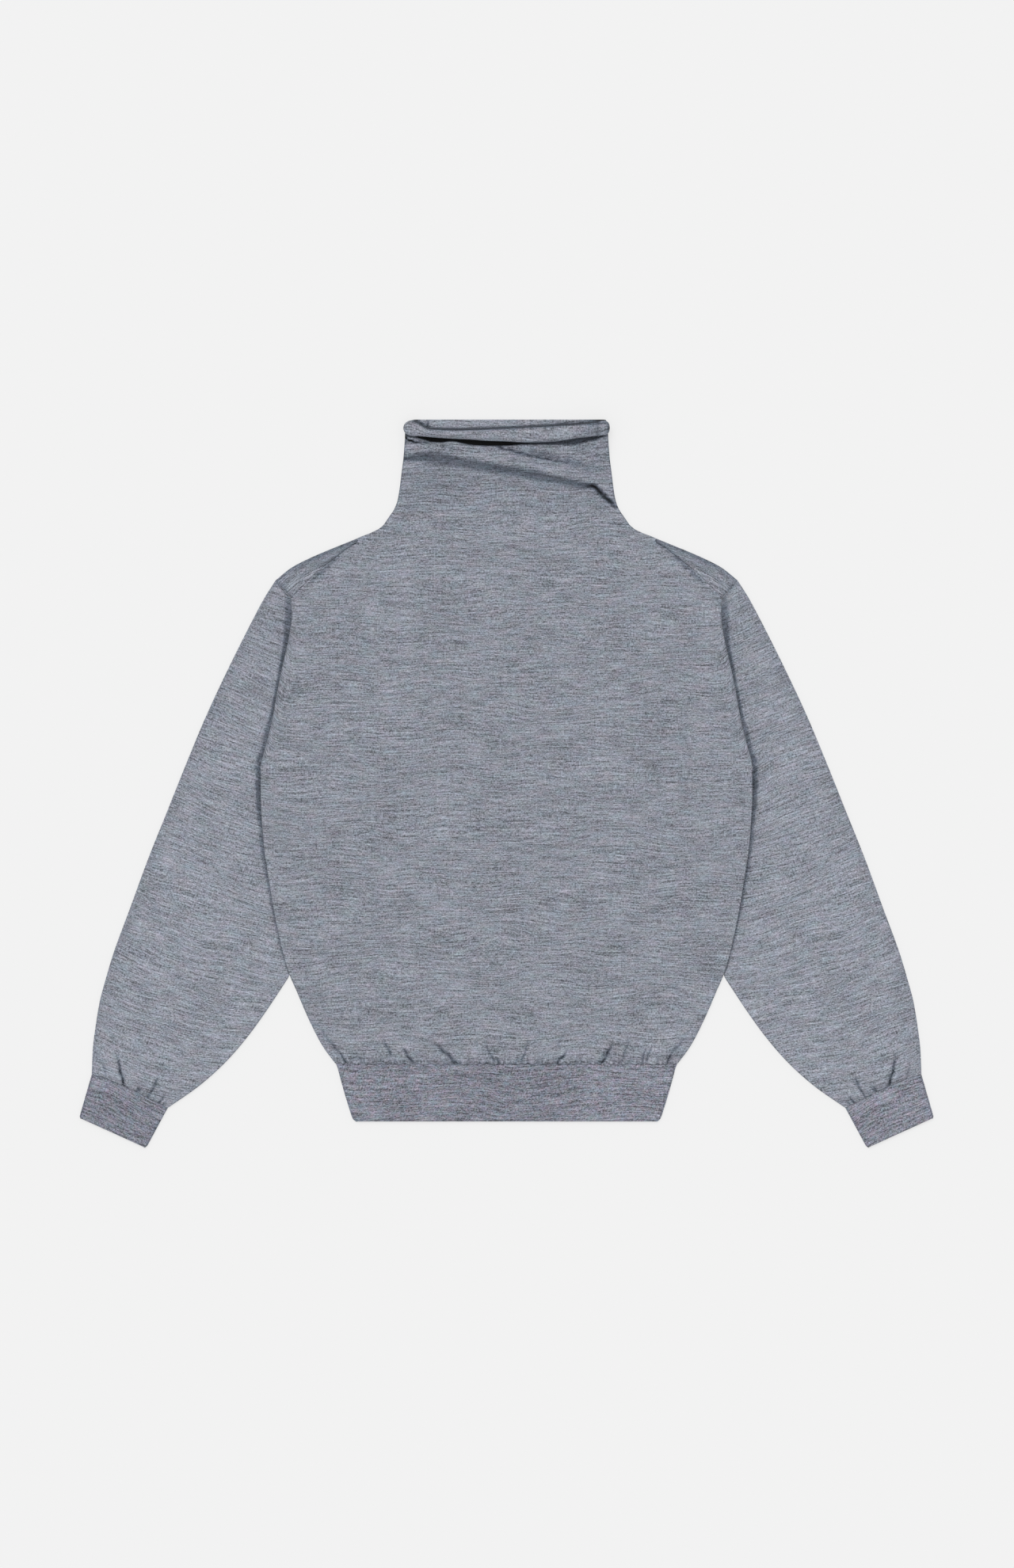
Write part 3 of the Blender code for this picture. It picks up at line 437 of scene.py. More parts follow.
# Small puckers along the body's sides above the band
Pucker = namedtuple("Pucker", "height length depth dark")
PUCKERS_LEFT = table(Pucker, (
    (159, 12, 0.5, 0.12), (150, 16, 0.6, 0.16), (141.5, 10, 0.4, 0.1), (133, 15, 0.6, 0.16),
    (121, 12, 0.5, 0.14), (109, 17, 0.6, 0.18), (98, 11, 0.5, 0.14),
))
PUCKERS_RIGHT = table(Pucker, (
    (161, 14, 0.5, 0.14), (147.5, 11, 0.4, 0.1), (138, 16, 0.6, 0.16), (126, 12, 0.5, 0.14),
    (113, 15, 0.6, 0.18), (101, 10, 0.5, 0.12), (91, 13, 0.5, 0.14),
))
PUCKER_DROOP = 0.25
PUCKER_WIDTH = 1.6

SLEEVE_CREASES = table(Crease, (
    (433.1, 38.6, 442, 86, -2.1, 1.7, 1.9, 1.3), (434.5, 43, 441, 72, -1.6, 2.6, 0.6, 0.35),
    (438.2, 42, 443, 66, -1.6, 1.6, -0.4, -0.2), (455.4, 52, 459.8, 74, 0.4, 1.4, 0.8, 0.55),
    (456.6, 50.2, 450, 47, 0, 1.6, 0.5, 0.5), (464, 56, 465.5, 74, 0, 1.4, 0.5, 0.24),
    (407.2, 28, 393.6, 60, 1.8, 1.5, 1.3, 0.9), (402.3, 35.4, 394, 58, 1.2, 2.4, 0.5, 0.3),
    (394.8, 21, 387.6, 32, 0, 1.4, 1, 0.95), (390.2, 19, 385, 26, 0, 1.2, 0.7, 0.8),
    (421.2, 33.4, 415.6, 42, 0, 1.5, 1, 0.95), (417.6, 34.6, 413, 41, 0, 1.2, 0.6, 0.75),
    (416, 36.5, 413, 52, 0, 1.3, 0.5, 0.3), (412.5, 31.2, 409, 36, 0, 1, 0.6, 0.5),
    (402, 24, 397, 33, 0, 1.1, 0.6, 0.4), (428.5, 40, 427.5, 47, 0, 1.3, -0.4, -0.2),
))
SleeveGather = namedtuple("SleeveGather", "foot top reach depth")
CUFF_GATHERS = table(SleeveGather, (
    (0.16, 0.1, 20, 0.5), (0.39, 0.24, 30, 1), (0.59, 0.62, 14, 0.6), (0.72, 0.74, 26, 0.8),
    (0.87, 0.91, 16, 0.6),
))
CUFF_PUFF = 2.6
CUFF_PUFF_RISE = 7.0
CUFF_PUFF_FALL = 32.0
CUFF_GROOVE = 0.045
SLEEVE_CROWN = 1.6
SLEEVE_CROWN_SHARE = 0.84
SLEEVE_HEAD_RUN = 40.0
PUFF_EDGE_SHARE = 0.12
# The ripple of the sleeve's cloth where it hangs over the cuff's seam
RIPPLE = 8.5
RIPPLE_RISE = Line(0.7, 4.0, 3.5)
RIPPLE_HANG = Line(1.2, 2.4, 2.5)
# The courses rise beside the armhole, and the columns crowd towards the edges
COURSE_RISE = 9.0
COURSE_RISE_RUN = 6.0
COURSE_RISE_START = Ramp(UNDERARM, 20.0)
COURSE_RISE_END = Ramp(540.0, 40.0)
SIDE_CROWD = 0.75
SLEEVE_CROWD = 0.7
# The sleeve's courses: their slope, and how much flatter they get towards its inner edge
COURSE_SLOPE = math.radians(22)
COURSE_FLATTEN = 0.11
COURSES_STEEP = Ramp(200.0, 200.0)

# How dark the sleeve looks along the armhole and along the body's side, by height
Contact = namedtuple("Contact", "height dark width")
CONTACT = table(Contact, (
    (165.6, 0, 2), (172, 0.34, 2.6), (200, 0.4, 2.8), (230, 0.46, 3.4), (260, 0.52, 4.4),
    (320, 0.56, 5.4), (350, 0.68, 6.2), (382, 0.78, 7.6), (404, 0.78, 7.4), (420, 0.66, 6), (442, 0.6, 8),
    (455, 0.64, 5.4), (469, 0.76, 4.8), (496, 0.66, 4.6), (518, 0.8, 5.4), (536, 0.74, 6.2),
    (550, 0.72, 8.6), (563, 0.64, 11.5), (577, 0.6, 12), (588, 0.46, 11.5), (596, 0.4, 7),
))
# How that shade fades away from the edge, and how ragged and mottled it is up to a height
CONTACT_FADE = Ramp(0.45, 0.6)
CONTACT_RAGGED = 0.34
CONTACT_RAGGED_PITCH = 4.6
CONTACT_EVEN = 430.0
CONTACT_MOTTLE = 0.2
CONTACT_MOTTLE_PITCHES = (13.0, 5.0)
CONTACT_SPREAD = 1.7
CONTACT_FIRM = 0.8

# How the cloth sinks to its sewn edges, rises along the armhole and swells where it lies loose
EDGE_SINK = 0.55
EDGE_SINK_RUN = 2.5
SEAM_RIDGE = Line(0.8, 2.2, 1.2)
SEAM_DIP = Line(0.45, 3.0)
SEAM_DIP_START = Ramp(UNDERARM - 6.0, 6.0)
ARMHOLE_OPENS = Ramp(UNDERARM - 4.0, 4.0)
SWELL = 0.45
SWELL_EDGE = 30.0
SWELL_FOOT = 40.0
SWELL_END = Ramp(640.0, 40.0)
SLEEVE_SWELL_EDGE = 25.0
# Pitches of the soft waves across and up the loose cloth, and of what bends them
Waves = namedtuple("Waves", "across across_bend up up_bend")
FRONT_WAVES = Waves(31.0, 47.0, 39.0, 53.0)
SLEEVE_WAVES = Waves(23.0, 41.0, 29.0, 61.0)
BAND_END = 0.03

# Where the hidden layers and the strips lie in the cloth's own coordinates, apart from what shows
STRIP_CLOTH = (7.0, 300.0)
SLEEVE_CLOTH = (600.0, 900.0)
BAND_UNDER_CLOTH = 400.0
HEM_CLOTH = (0.0, 1700.0)
CUFF_CLOTH = (60.0, 1900.0)
LEFT_CLOTH = 37.0

# Stitches of the seams: their length as a share of their pitch, their breadth, height and lean
STITCH_FILL = 0.95
STITCH_WIDTH = 0.5
STITCH_HEIGHT = 0.35
STITCH_LEAN = math.radians(24)
STITCH_SHADE = 0.12
SEAM_END = 2.0
SEAM_STEPS = 40
CUFF_SEAM_STEPS = 24
CUFF_SEAM_ENDS = (0.03, 0.97)
STITCH_Z = FRONT_Z + 0.45
MARK_Z = FRONT_Z + 0.75
MARK_SHADE = -0.4
MARK_WIDTH = 1.1
MARK_HEIGHT = 0.7

# Marks where the armhole's edge was narrowed in the knitting
Mark = namedtuple("Mark", "height inside length slant")
FASHIONING = table(Mark, (
    (526, 4.5, 8.5, 54), (509, 6, 7, 50), (486.5, 6, 10.5, 46), (469, 6.5, 9, 34), (449.5, 7, 9.5, 46),
    (443, 9.5, 6.5, 24), (433, 5, 4.5, 40), (415.5, 4, 3, 30),
))

# The melange yarn's light and dark flecks: their size on the flat cloth, and their contrast
Fleck = namedtuple("Fleck", "length breadth strength")
FLECKS = table(Fleck, (
    (1.7, 1.2, 1.25), (5, 1.3, 0.75), (20, 1.5, 0.76), (60, 1.6, 0.58), (60, 25, 0.22),
))
DARKEST_FLECK = 0.3
# How far the noise of each seed lies from the next, and how large, in metres, the courses drift
NOISE_STEP = (7.3, 3.1)
TINT_SEEDS = (8.0, 9.0)
DRIFT_SIZE = (0.08, 0.05)
# The relief of the stitches: upright wales, the loops that bend over them, and the yarn itself
WALE_RELIEF = 0.6
LOOP_RELIEF = 0.25
LOOP_BEND = 2.4
GRAIN_RELIEF = 1.4
STREAK_RELIEF = 1.1

# The floor's place and its soft clouds in metres, the light's turn and the middle of the picture
FLOOR_CLEARANCE = 0.0002
FLOOR_CLOUDS = (0.6, 0.6)
FLOOR_MOTTLE = 0.004
KEY_TURN = (math.radians(-32), math.radians(-14), 0.0)
VIEW_CENTRE = (0.0005, -0.0005)


def mix(start, end, share):
    return start + (end - start) * share


def curve(rows, column, place):
    """A column of a table at some places, which its first column holds: smooth, and never past its rows."""
    places = np.array([row[0] for row in rows])
    values = np.array([getattr(row, column) for row in rows])
    place = np.clip(place, places[0], places[-1])
    slopes = np.diff(values) / np.diff(places)
    before, after = slopes[:-1], slopes[1:]
    both = before + after
    inner = np.where(before * after > 0.0, 2.0 * before * after / np.where(both == 0.0, 1.0, both), 0.0)
    tangents = np.concatenate((slopes[:1], inner, slopes[-1:]))
    k = np.clip(np.searchsorted(places, place, side="right") - 1, 0, len(rows) - 2)
    step = places[k + 1] - places[k]
    share = (place - places[k]) / step
    rest = 1.0 - share
    ends = values[k] * (1.0 + 2.0 * share) * rest**2 + values[k + 1] * (3.0 - 2.0 * share) * share**2
    return ends + step * share * rest * (tangents[k] * rest - tangents[k + 1] * share)


def zone_rows(zones):
    """How many rows a list of zones has, and the row at which each of its heights is reached."""
    steps = np.cumsum([zone[1] for zone in zones])
    return int(steps[-1]), steps


def zone_heights(zones, row):
    return np.interp(row, zone_rows(zones)[1], [zone[0] for zone in zones])


def crowd(share, amount):
    """Shares from 0 to 1 moved towards both ends, where the cloth needs more columns."""
    return mix(share, 0.5 - 0.5 * np.cos(math.pi * share), amount)


def front_half(height):
    """Half the breadth of the front at some heights."""
    choices = [curve(SIDE_EDGE, "half", height), curve(ARMHOLE, "half", height)]
    choices.append(curve(SEAM_LINE, "half", height))
    where = [height <= UNDERARM, height <= SEAM_FOOT, height <= NECK_FOOT]
    return np.select(where, choices, curve(NECK_EDGE, "half", height))


def uneven(place, pitch):
    """Waves from 0 to 1 with about that pitch, no two alike."""
    turn = 2.0 * math.pi * place / pitch
    return 0.5 + 0.5 * np.sin(turn + 1.5 * np.sin(turn / 2.7 + 0.8) + 1.1 * np.sin(turn / 6.3))


def press(creases, x, height):
    """How far drawn creases lower the cloth, and how dark it looks in them."""
    lowered = np.zeros_like(x)
    shade = np.zeros_like(x)
    light = np.zeros_like(x)
    for number, crease in enumerate(creases):
        run_x = crease.end_x - crease.x
        run_height = crease.end_height - crease.height
        length = math.hypot(run_x, run_height)
        off_x = x - crease.x
        off_height = height - crease.height
        along = (off_x * run_x + off_height * run_height) / length**2
        held = clamp(along)
        across = (off_height * run_x - off_x * run_height) / length - crease.bow * 4.0 * held * (1.0 - held)
        across += CREASE_WANDER * crease.width * np.sin(along * length / WANDER_PITCH + number)
        width = crease.width * mix(1.0, CREASE_TAPER, held)
        fade = ease(1.0 + along * length / crease.width) * ease((1.0 - along) / CREASE_FADE)
        mark = hump(across, width) * fade
        lowered += crease.depth * mark
        knots = 1.0 - CREASE_KNOTS * (0.5 + 0.5 * np.sin(along * length / KNOT_PITCH + 2.0 * number))
        shade = np.maximum(shade, crease.dark * mark * knots)
        light = np.minimum(light, crease.dark * mark)
    return lowered, shade + light


def side_lift(distance, height):
    """How far the body's side is raised by the sleeve that lies under it."""
    along = clamp(np.minimum(UNDERARM - height, height - PARTING) / LIFT_RUN)
    return LIFT * along * (1.0 - LIFT_SLOPE(distance))


def neck_rise(height):
    return NECK_RISE * NECK_RISES(height)


def gather_place(gather, height):
    share = (height - HEM_SEAM) / (gather.top_height - HEM_SEAM)
    spread = gather.top * front_half(height) / front_half(np.array(gather.top_height))
    return np.where(share <= 1.0, mix(gather.foot, gather.top, share), spread)


def hem_puff(x, height, distance):
    """Height of the puffs that the gathers leave above the hem band."""
    above_seam = height - HEM_SEAM
    size = ease(above_seam / HEM_PUFF_RISE) * (1.0 - ease((above_seam - HEM_PUFF_RISE) / HEM_PUFF_FALL))
    groove = np.zeros_like(x)
    for gather in HEM_GATHERS:
        away = x - gather_place(gather, height)
        run_out = ease((gather.top_height - height) / (gather.top_height - HEM_SEAM) + GROOVE_RUN_OUT)
        groove = np.maximum(groove, gather.depth * hump(away, GROOVE_WIDTH) * run_out)
    return HEM_PUFF * size * (1.0 - groove) * ease(distance / PUFF_EDGE)


def neck_fold(x, height):
    """The long fold across the neck: how far it raises the cloth, and its shade."""
    centre = curve(NECK_TROUGH, "height", x)
    slope = curve(NECK_TROUGH, "height", x + 1.0) - centre
    across = (height - centre) / np.sqrt(1.0 + slope**2)
    spread = curve(NECK_TROUGH, "spread", x)
    upper = hump(across - spread, spread)
    lower = LOWER_CREST * hump(across + spread, spread)
    outside = 1.0 - hump(across * TROUGH_SHARPNESS, spread)
    raised = curve(NECK_TROUGH, "crest", x) * (upper + lower) * outside
    away = (across + TROUGH_DROP) / curve(NECK_TROUGH, "width", x)
    away = away * np.where(away > 0.0, 1.0 / TROUGH_FADE, TROUGH_FADE)
    long_pitch, short_pitch = TROUGH_MOTTLE_PITCHES
    mottle = TROUGH_MOTTLE * uneven(x + 2.5 * height, long_pitch)
    mottled = 1.0 - mottle * uneven(height - 0.3 * x, short_pitch)
    some = mix(NECK_LIGHT_LEAST, 1.0, uneven(x + 2.0 * height, NECK_LIGHT_PITCH))
    lit = NECK_LIGHT * upper * outside * some
    return raised, curve(NECK_TROUGH, "dark", x) * mottled * np.exp(-(away**4)) + lit


def puckers(x, height):
    """The small puckers along the body's sides."""
    creases = []
    for side, rows in ((-1.0, PUCKERS_LEFT), (1.0, PUCKERS_RIGHT)):
        for row in rows:
            edge = float(curve(SIDE_EDGE, "half", np.array(row.height)))
            end = (side * (edge - row.length), row.height + PUCKER_DROOP * row.length)
            creases.append(Crease(side * edge, row.height, *end, 0.0, PUCKER_WIDTH, row.depth, row.dark))
    return press(creases, x, height)


def scallops(x, distance):
    """How much the cloth hangs at a place between the finest gathers of the hem, from 0 to 1."""
    return uneven(x, SCALLOP) * ease(distance / PUFF_EDGE)


def hem_shade(x, above_seam):
    """The dark line over the hem band, broken by the scallops and firm beside the middle gathers."""
    hollow = 1.0 - uneven(x, SCALLOP)
    some = mix(HEM_DARK_LEAST, 1.0, uneven(x + 20.0, HEM_DARK_PITCH))
    line = HEM_DARK(above_seam) * hollow**2 + HEM_FAINT(above_seam) + HEM_SHADOW(above_seam) * hollow**3
    return some * line + HEM_TIGHT(np.abs(x)) * HEM_TIGHT_DARK(above_seam)


def front_swell(x, height, distance):
    """Soft waves of the front where it lies loose, away from seams and neck."""
    waves = np.sin(x / FRONT_WAVES.across + np.sin(height / FRONT_WAVES.across_bend))
    waves = waves * np.sin(height / FRONT_WAVES.up + 0.6 * np.sin(x / FRONT_WAVES.up_bend))
    loose = ease(distance / SWELL_EDGE) * ease((height - HEM_SEAM) / SWELL_FOOT)
    return SWELL * waves * loose * (1.0 - SWELL_END(height))


def front_depth(x, height, half):
    """Middle of the front's cloth over the surface that it lies on, and its shade."""
    distance = half - np.abs(x)
    above_seam = height - HEM_SEAM
    sewn = (height <= UNDERARM) | (height > NECK_FOOT)
    z = FRONT_Z + side_lift(distance, height) + neck_rise(height)
    z += np.where(sewn, -EDGE_SINK * (1.0 - ease(distance / EDGE_SINK_RUN)), SEAM_RIDGE(distance))
    z += hem_puff(x, height, distance) + front_swell(x, height, distance)
    z += scallops(x, distance) * (SCALLOP_RISE(above_seam) + SCALLOP_TAIL(above_seam))

    lowered, creased = press(FRONT_CREASES, x, height)
    drawn, puckered = puckers(x, height)
    raised, folded = neck_fold(x, height)
    folded *= NECK_START(height)
    calm = ease(distance / CALM_EDGE) * CALM_TOP(height) * NECK_START(height)
    z = np.maximum(z + raised * calm - lowered - drawn, BACK_Z + WALL)

    edge = NECK_EDGE_DARK(distance) * (height > NECK_FOOT) + SIDE_DARK(distance) * (height < PARTING)
    lit = np.minimum(creased, 0.0) + np.minimum(folded, 0.0)
    shade = np.maximum.reduce((creased, puckered, folded, edge)) + lit
    pulled = PULLED_FOOT(height) * (1.0 - PULLED_TOP(height))
    seam = np.where(sewn, 0.0, (1.0 - pulled) * SEAM_DARK(distance))
    shade = np.where(shade < 0.0, shade, np.maximum.reduce((shade, seam, hem_shade(x, above_seam))))
    shade -= pulled * (height < NECK_FOOT) * SEAM_LIGHT(distance)
    shade += NECK_TONE * NECK_TONE_RISE(height)

    # Painted shade: the cloth in the gap under the roll is painted black, and lowered too
    near_gap = height > GAP_FOOT
    inside = height - curve(GAP, "height", x)
    soft = mix(GAP_FIRM, GAP_SOFT, GAP_SOFTENS(x))
    deep = ease((inside + soft / 2) / soft) * curve(GAP, "black", x)
    z -= GAP_DEPTH * GAP_SINK(inside) * ease(distance / GAP_EDGE) * near_gap
    return z, np.where(near_gap, np.maximum(shade, deep), shade)


def rounded(distance, radius):
    """From 0 at an end to 1 at a radius from it, along a quarter of a circle."""
    near = clamp(distance / radius)
    return np.sqrt(1.0 - (1.0 - near) ** 2)


def bend_courses(distance, height):
    """How far the courses rise towards the armhole, where the narrowing turns them."""
    where = COURSE_RISE_START(height) * (1.0 - COURSE_RISE_END(height))
    return COURSE_RISE * where * np.exp(-distance / COURSE_RISE_RUN)


def roll_share(x, half):
    """The roll's size as a share of the full one: it ends in a round tip at each side."""
    reach = np.where(x < 0.0, ROLL_END_LEFT, ROLL_END_RIGHT)
    return np.maximum(rounded(half - np.abs(x), reach), ROLL_TIP)


def roll_shade(x, below_top, distance):
    """The painted shade on the roll's outer side: dark lines along its top, at its ends and in the folds
    beside them, and its darker right end.
    """
    edge = np.where(x > 0.0, ROLL_EDGE_RIGHT(distance), ROLL_EDGE_LEFT(distance))
    line = ROLL_LINE(below_top) * ROLL_LINE_ENDS(distance)
    end_fold = END_FOLD(x)
    end_top = END_TOP(below_top) * (x > END_TOP_START)
    end_shade = END_SHADE * END_SHADE_RISE(x) * (x < END_FOLD.at)
    return np.maximum.reduce((edge, line, end_fold, end_top, end_shade))


def front_form(across, up):
    """Where the front's cloth lies: from the hem seam up the neck and round the roll."""
    flat_rows = zone_rows(FRONT_ZONES)[0]
    row = up * (flat_rows + ROLL_ROWS)
    height = zone_heights(FRONT_ZONES, row)
    half = front_half(height)
    x = half * (2.0 * crowd(across, SIDE_CROWD) - 1.0)
    distance = half - np.abs(x)
    turn = clamp((row - flat_rows) / ROLL_ROWS)
    angle = turn * ROLL_TURN
    cloth = np.stack((x, height - bend_courses(distance, height) + turn * ROLL_CLOTH), axis=1)
    centre = curve(ROLL, "centre", x)
    top_zone = FRONT_ZONES[-2].height
    lifted = top_zone + (height - top_zone) * (centre - top_zone) / (ROLL_HEIGHT - top_zone)
    height = np.where(height > top_zone, lifted, height)
    z, shade = front_depth(x, height, half)

    share = roll_share(x, half)
    reach = (curve(ROLL, "reach", x) - WALL / 2) * share
    shown = height - scallops(x, distance) * SCALLOP_HANG(height - HEM_SEAM)
    shown += SEAM_GAP / 2 * (height <= HEM_SEAM)
    shown = np.where(turn > 0.0, centre + reach * np.sin(angle), shown)
    rolled_z = FRONT_Z + NECK_RISE + ROLL_RISE * share * (1.0 - np.cos(angle))
    z = mix(z, rolled_z, ease(turn / ROLL_JOIN))

    drawn = press(ROLL_CREASES, x, shown)[1]
    outer = roll_shade(x, centre + reach - shown, distance)
    x = x + np.sign(x) * ROLL_PROUD * ROLL_PROUD_ENDS(np.abs(x)) * ease(turn / ROLL_PROUD_TURN)
    under = UNDER_DARK * UNDER_TURN(angle)
    seam = END_SEAM(x) * uneven(shown, END_SEAM_PITCH)
    shade = np.where(angle > ROLL_SHOWS, np.maximum.reduce((drawn, outer, under, seam)), shade)
    return np.stack((x, shown, z), axis=1), cloth, shade


def back_rise(x, height, half):
    """The back's neck rises with the front at its sides, and only near the rim in the middle."""
    return mix(neck_rise(height), NECK_RISE * BACK_RISES(height), BACK_MIDDLE(half - np.abs(x)))


def shoulder_fold(place):
    """Where the back folds over the shoulder, how far it is to the seam, and which way: by fold height."""
    fold_half = curve(SHOULDER, "fold_half", place)
    run_half = curve(SHOULDER, "seam_half", place) - fold_half
    run_height = curve(SHOULDER, "seam_height", place) - place
    length = np.hypot(run_half, run_height)
    return fold_half, length, run_half / length, run_height / length


def shoulder_places(share):
    """Fold heights that are evenly spread along the shoulder."""
    heights = np.array([row.fold_height for row in SHOULDER])
    halves = np.array([row.fold_half for row in SHOULDER])
    walked = np.concatenate(([0.0], np.cumsum(np.hypot(np.diff(heights), np.diff(halves)))))
    return np.interp(share * walked[-1], walked, heights), share * walked[-1]


def fold_foot(share):
    """Where the shoulder's fold leaves the flat of the back."""
    place = shoulder_places(share)[0]
    fold_half, _, run_half, run_height = shoulder_fold(place)
    out = FOLD_RADIUS + WALL / 2
    return place + out * run_height, fold_half + out * run_half


def rim_shade(x, height, shown):
    """The painted shade of the back's rim in dark lines, and the painted light on the strip of it that shows
    over the roll.
    """
    in_neck = height > NECK_FOOT
    roll_top = curve(ROLL, "centre", x) + curve(ROLL, "reach", x)
    above = in_neck * (shown > roll_top - RIM_HIDDEN)
    drawn = press(ROLL_CREASES, x, shown)[1]
    rim = mix(RIM_DARK_LEFT, RIM_DARK_RIGHT, RIM_DARKENS(x)) * RIM_LINE(RIM_TOP - shown)
    shade = np.maximum.reduce((above * BACK_LINE(height - roll_top), above * drawn, in_neck * rim))
    return shade + STRIP_PAINTED_LIGHT * above * STRIP_START(height - roll_top)


def back_rows():
    """The rows of the back's grid up to the shoulders, the neck and the turn of its rim, and all of them."""
    body_rows = zone_rows(BACK_ZONES)[0]
    neck_start = body_rows + SHOULDER_ROWS
    turn_start = neck_start + zone_rows(BACK_NECK_ZONES)[0]
    return body_rows, neck_start, turn_start, turn_start + TURN_ROWS + FLAP_ROWS


def back_form(across, up):
    """Where the back's cloth lies: up to the shoulders, the neck, and round under its rim."""
    body_rows, neck_start, turn_start, all_rows = back_rows()
    row = up * all_rows
    body_height = zone_heights(BACK_ZONES, row)
    body_half = np.where(body_height <= UNDERARM, curve(SIDE_EDGE, "half", body_height),
                         curve(ARMHOLE, "half", body_height))
    foot_height, foot_half = fold_foot(np.array(0.0))
    to_foot = clamp((body_height - SEAM_FOOT) / (foot_height - SEAM_FOOT))
    body_half = mix(body_half, foot_half, to_foot)
    shoulder_height, shoulder_half = fold_foot(clamp((row - body_rows) / SHOULDER_ROWS))
    neck_height = zone_heights(BACK_NECK_ZONES, row - neck_start)
    parts = [row <= body_rows, row <= neck_start]
    height = np.select(parts, [body_height, shoulder_height], neck_height)
    half = np.select(parts, [body_half, shoulder_half], curve(NECK_EDGE, "half", neck_height))
    x = half * (2.0 * across - 1.0)
    distance = half - np.abs(x)
    z = BACK_Z + side_lift(distance, height) + back_rise(x, height, half)
    shown = height + SEAM_GAP / 2 * (height <= HEM_SEAM)

    corner = np.where(x < 0.0, CORNER_LEFT, CORNER_RIGHT)
    turn_height = RIM_TOP - TURN_RADIUS - WALL / 2 - corner * (1.0 - rounded(distance, corner))
    angle = clamp((row - turn_start) / TURN_ROWS) * math.pi
    turned = row > turn_start
    flat_top, flat_end = BACK_NECK_ZONES[1].height, BACK_NECK_ZONES[-1].height
    lowered = (height - flat_top) * (turn_height - flat_end) / (flat_end - flat_top)
    shown = np.where(height > flat_top, shown + lowered, shown)
    shown = np.where(turned, turn_height + TURN_RADIUS * np.sin(angle), shown)
    z = np.where(turned, BACK_Z + NECK_RISE - TURN_RADIUS + TURN_RADIUS * np.cos(angle), z)
    flap = clamp((row - turn_start - TURN_ROWS) / FLAP_ROWS)
    shown -= TURN_FLAP * flap * mix(FLAP_END, 1.0, ease(distance / FLAP_END_RUN))
    cloth = np.stack((x, height + TURN_RADIUS * angle + TURN_FLAP * flap), axis=1)
    return np.stack((x, shown, z), axis=1), cloth, rim_shade(x, height, shown)


def strip_form(side):
    """Where the back's strip lies: round the shoulder's fold and on to the forward seam."""
    def form(across, up):
        place, walked = shoulder_places(up)
        fold_half, length, run_half, run_height = shoulder_fold(place)
        reach = zone_heights(STRIP_ZONES, across * zone_rows(STRIP_ZONES)[0])
        angle = clamp(reach) * math.pi
        flat = clamp(reach - 1.0)
        out = FOLD_RADIUS + WALL / 2
        along = out - FOLD_RADIUS * np.sin(angle) + np.maximum(length - out, 0.0) * flat
        x = side * (fold_half + along * run_half)
        height = place + along * run_height
        to_seam = np.where(reach >= 1.0, length - along, STRIP_BEHIND)
        z = FOLD_Z - FOLD_RADIUS * np.cos(angle) - STRIP_SINK(to_seam)
        z += STRIP_SWELL * ease(flat * 3.0) * STRIP_SWELLS(to_seam)
        cloth = np.stack((walked + STRIP_CLOTH[0] * side, STRIP_CLOTH[1] + along), axis=1)
        upper = STRIP_UPPER(height)
        head = HEAD_LINE(walked) * HEAD_START(along)
        shade = np.maximum.reduce((upper * STRIP_SEAM_DARK(to_seam), STRIP_FOLD_DARK(along), head))
        shade += STRIP_DARKER * STRIP_DARKENS(height) - (1.0 - upper) * STRIP_SEAM_LIGHT(to_seam)
        return np.stack((x, height, z), axis=1), cloth, shade
    return form


def sleeve_ends(inner_height):
    """Outer and inner end of the sleeve's sections, by the height of the inner one."""
    outer_height = curve(SECTIONS, "outer_height", inner_height)
    outer = Edge(outer_height, curve(SLEEVE_OUTER, "half", outer_height))
    armhole = curve(ARMHOLE, "half", inner_height) + SEAM_GAP
    side = curve(SIDE_EDGE, "half", inner_height) - curve(TUCK, "depth", inner_height)
    free = curve(SLEEVE_INNER, "half", inner_height)
    inner = np.select([inner_height >= UNDERARM, inner_height > PARTING], [armhole, side], free)
    return outer, Edge(inner_height, inner)


def ring_place(across, ring, start, end, inner_crowd=0.0):
    """Reach from a flattened tube's outer edge, level of its cloth and share of its upper layer."""
    column = across * zone_rows(ring)[0]
    steps = zone_rows(ring)[1]
    ends = np.concatenate(([0.0], [part[0] for part in ring]))
    place = np.interp(column, np.concatenate(([0.0], steps)), ends)
    over = clamp(place)
    over = mix(over, np.sin(0.5 * math.pi * over), inner_crowd)
    inner = clamp(place - 1.0) * math.pi
    under = clamp(place - 2.0)
    outer = clamp(place - 3.0) * math.pi
    reach = mix(start, end, over)
    reach = reach + FOLD_RADIUS * np.sin(inner) - (end - start) * under - FOLD_RADIUS * np.sin(outer)
    z = FOLD_Z + np.where(place <= 2.0, FOLD_RADIUS * np.cos(inner), -FOLD_RADIUS * np.cos(outer))
    return reach, z, np.where(place <= 1.0, over, -1.0), place


def gather_share(gather, from_cuff):
    return mix(gather.foot, gather.top, np.minimum(from_cuff / gather.reach, 1.0))


def sleeve_puff(share, from_cuff, from_head):
    """How far the sleeve's upper layer stands over the flat: its crown, and the puffs above the cuff."""
    rise = ease(from_cuff / CUFF_PUFF_RISE)
    fall = 1.0 - ease((from_cuff - CUFF_PUFF_RISE) / CUFF_PUFF_FALL)
    fullness = SLEEVE_CROWN * ease(from_head / SLEEVE_HEAD_RUN) * rise
    crown = np.sin(math.pi * np.minimum(share / SLEEVE_CROWN_SHARE, 1.0)) ** 2
    groove = np.zeros_like(share)
    for gather in CUFF_GATHERS:
        run_out = ease(1.0 + GROOVE_RUN_OUT - from_cuff / gather.reach)
        away = share - gather_share(gather, from_cuff)
        groove = np.maximum(groove, gather.depth * run_out * hump(away, CUFF_GROOVE))
    edges = ease(share / PUFF_EDGE_SHARE) * ease((1.0 - share) / PUFF_EDGE_SHARE)
    return fullness * crown + CUFF_PUFF * rise * fall * edges * (1.0 - groove)


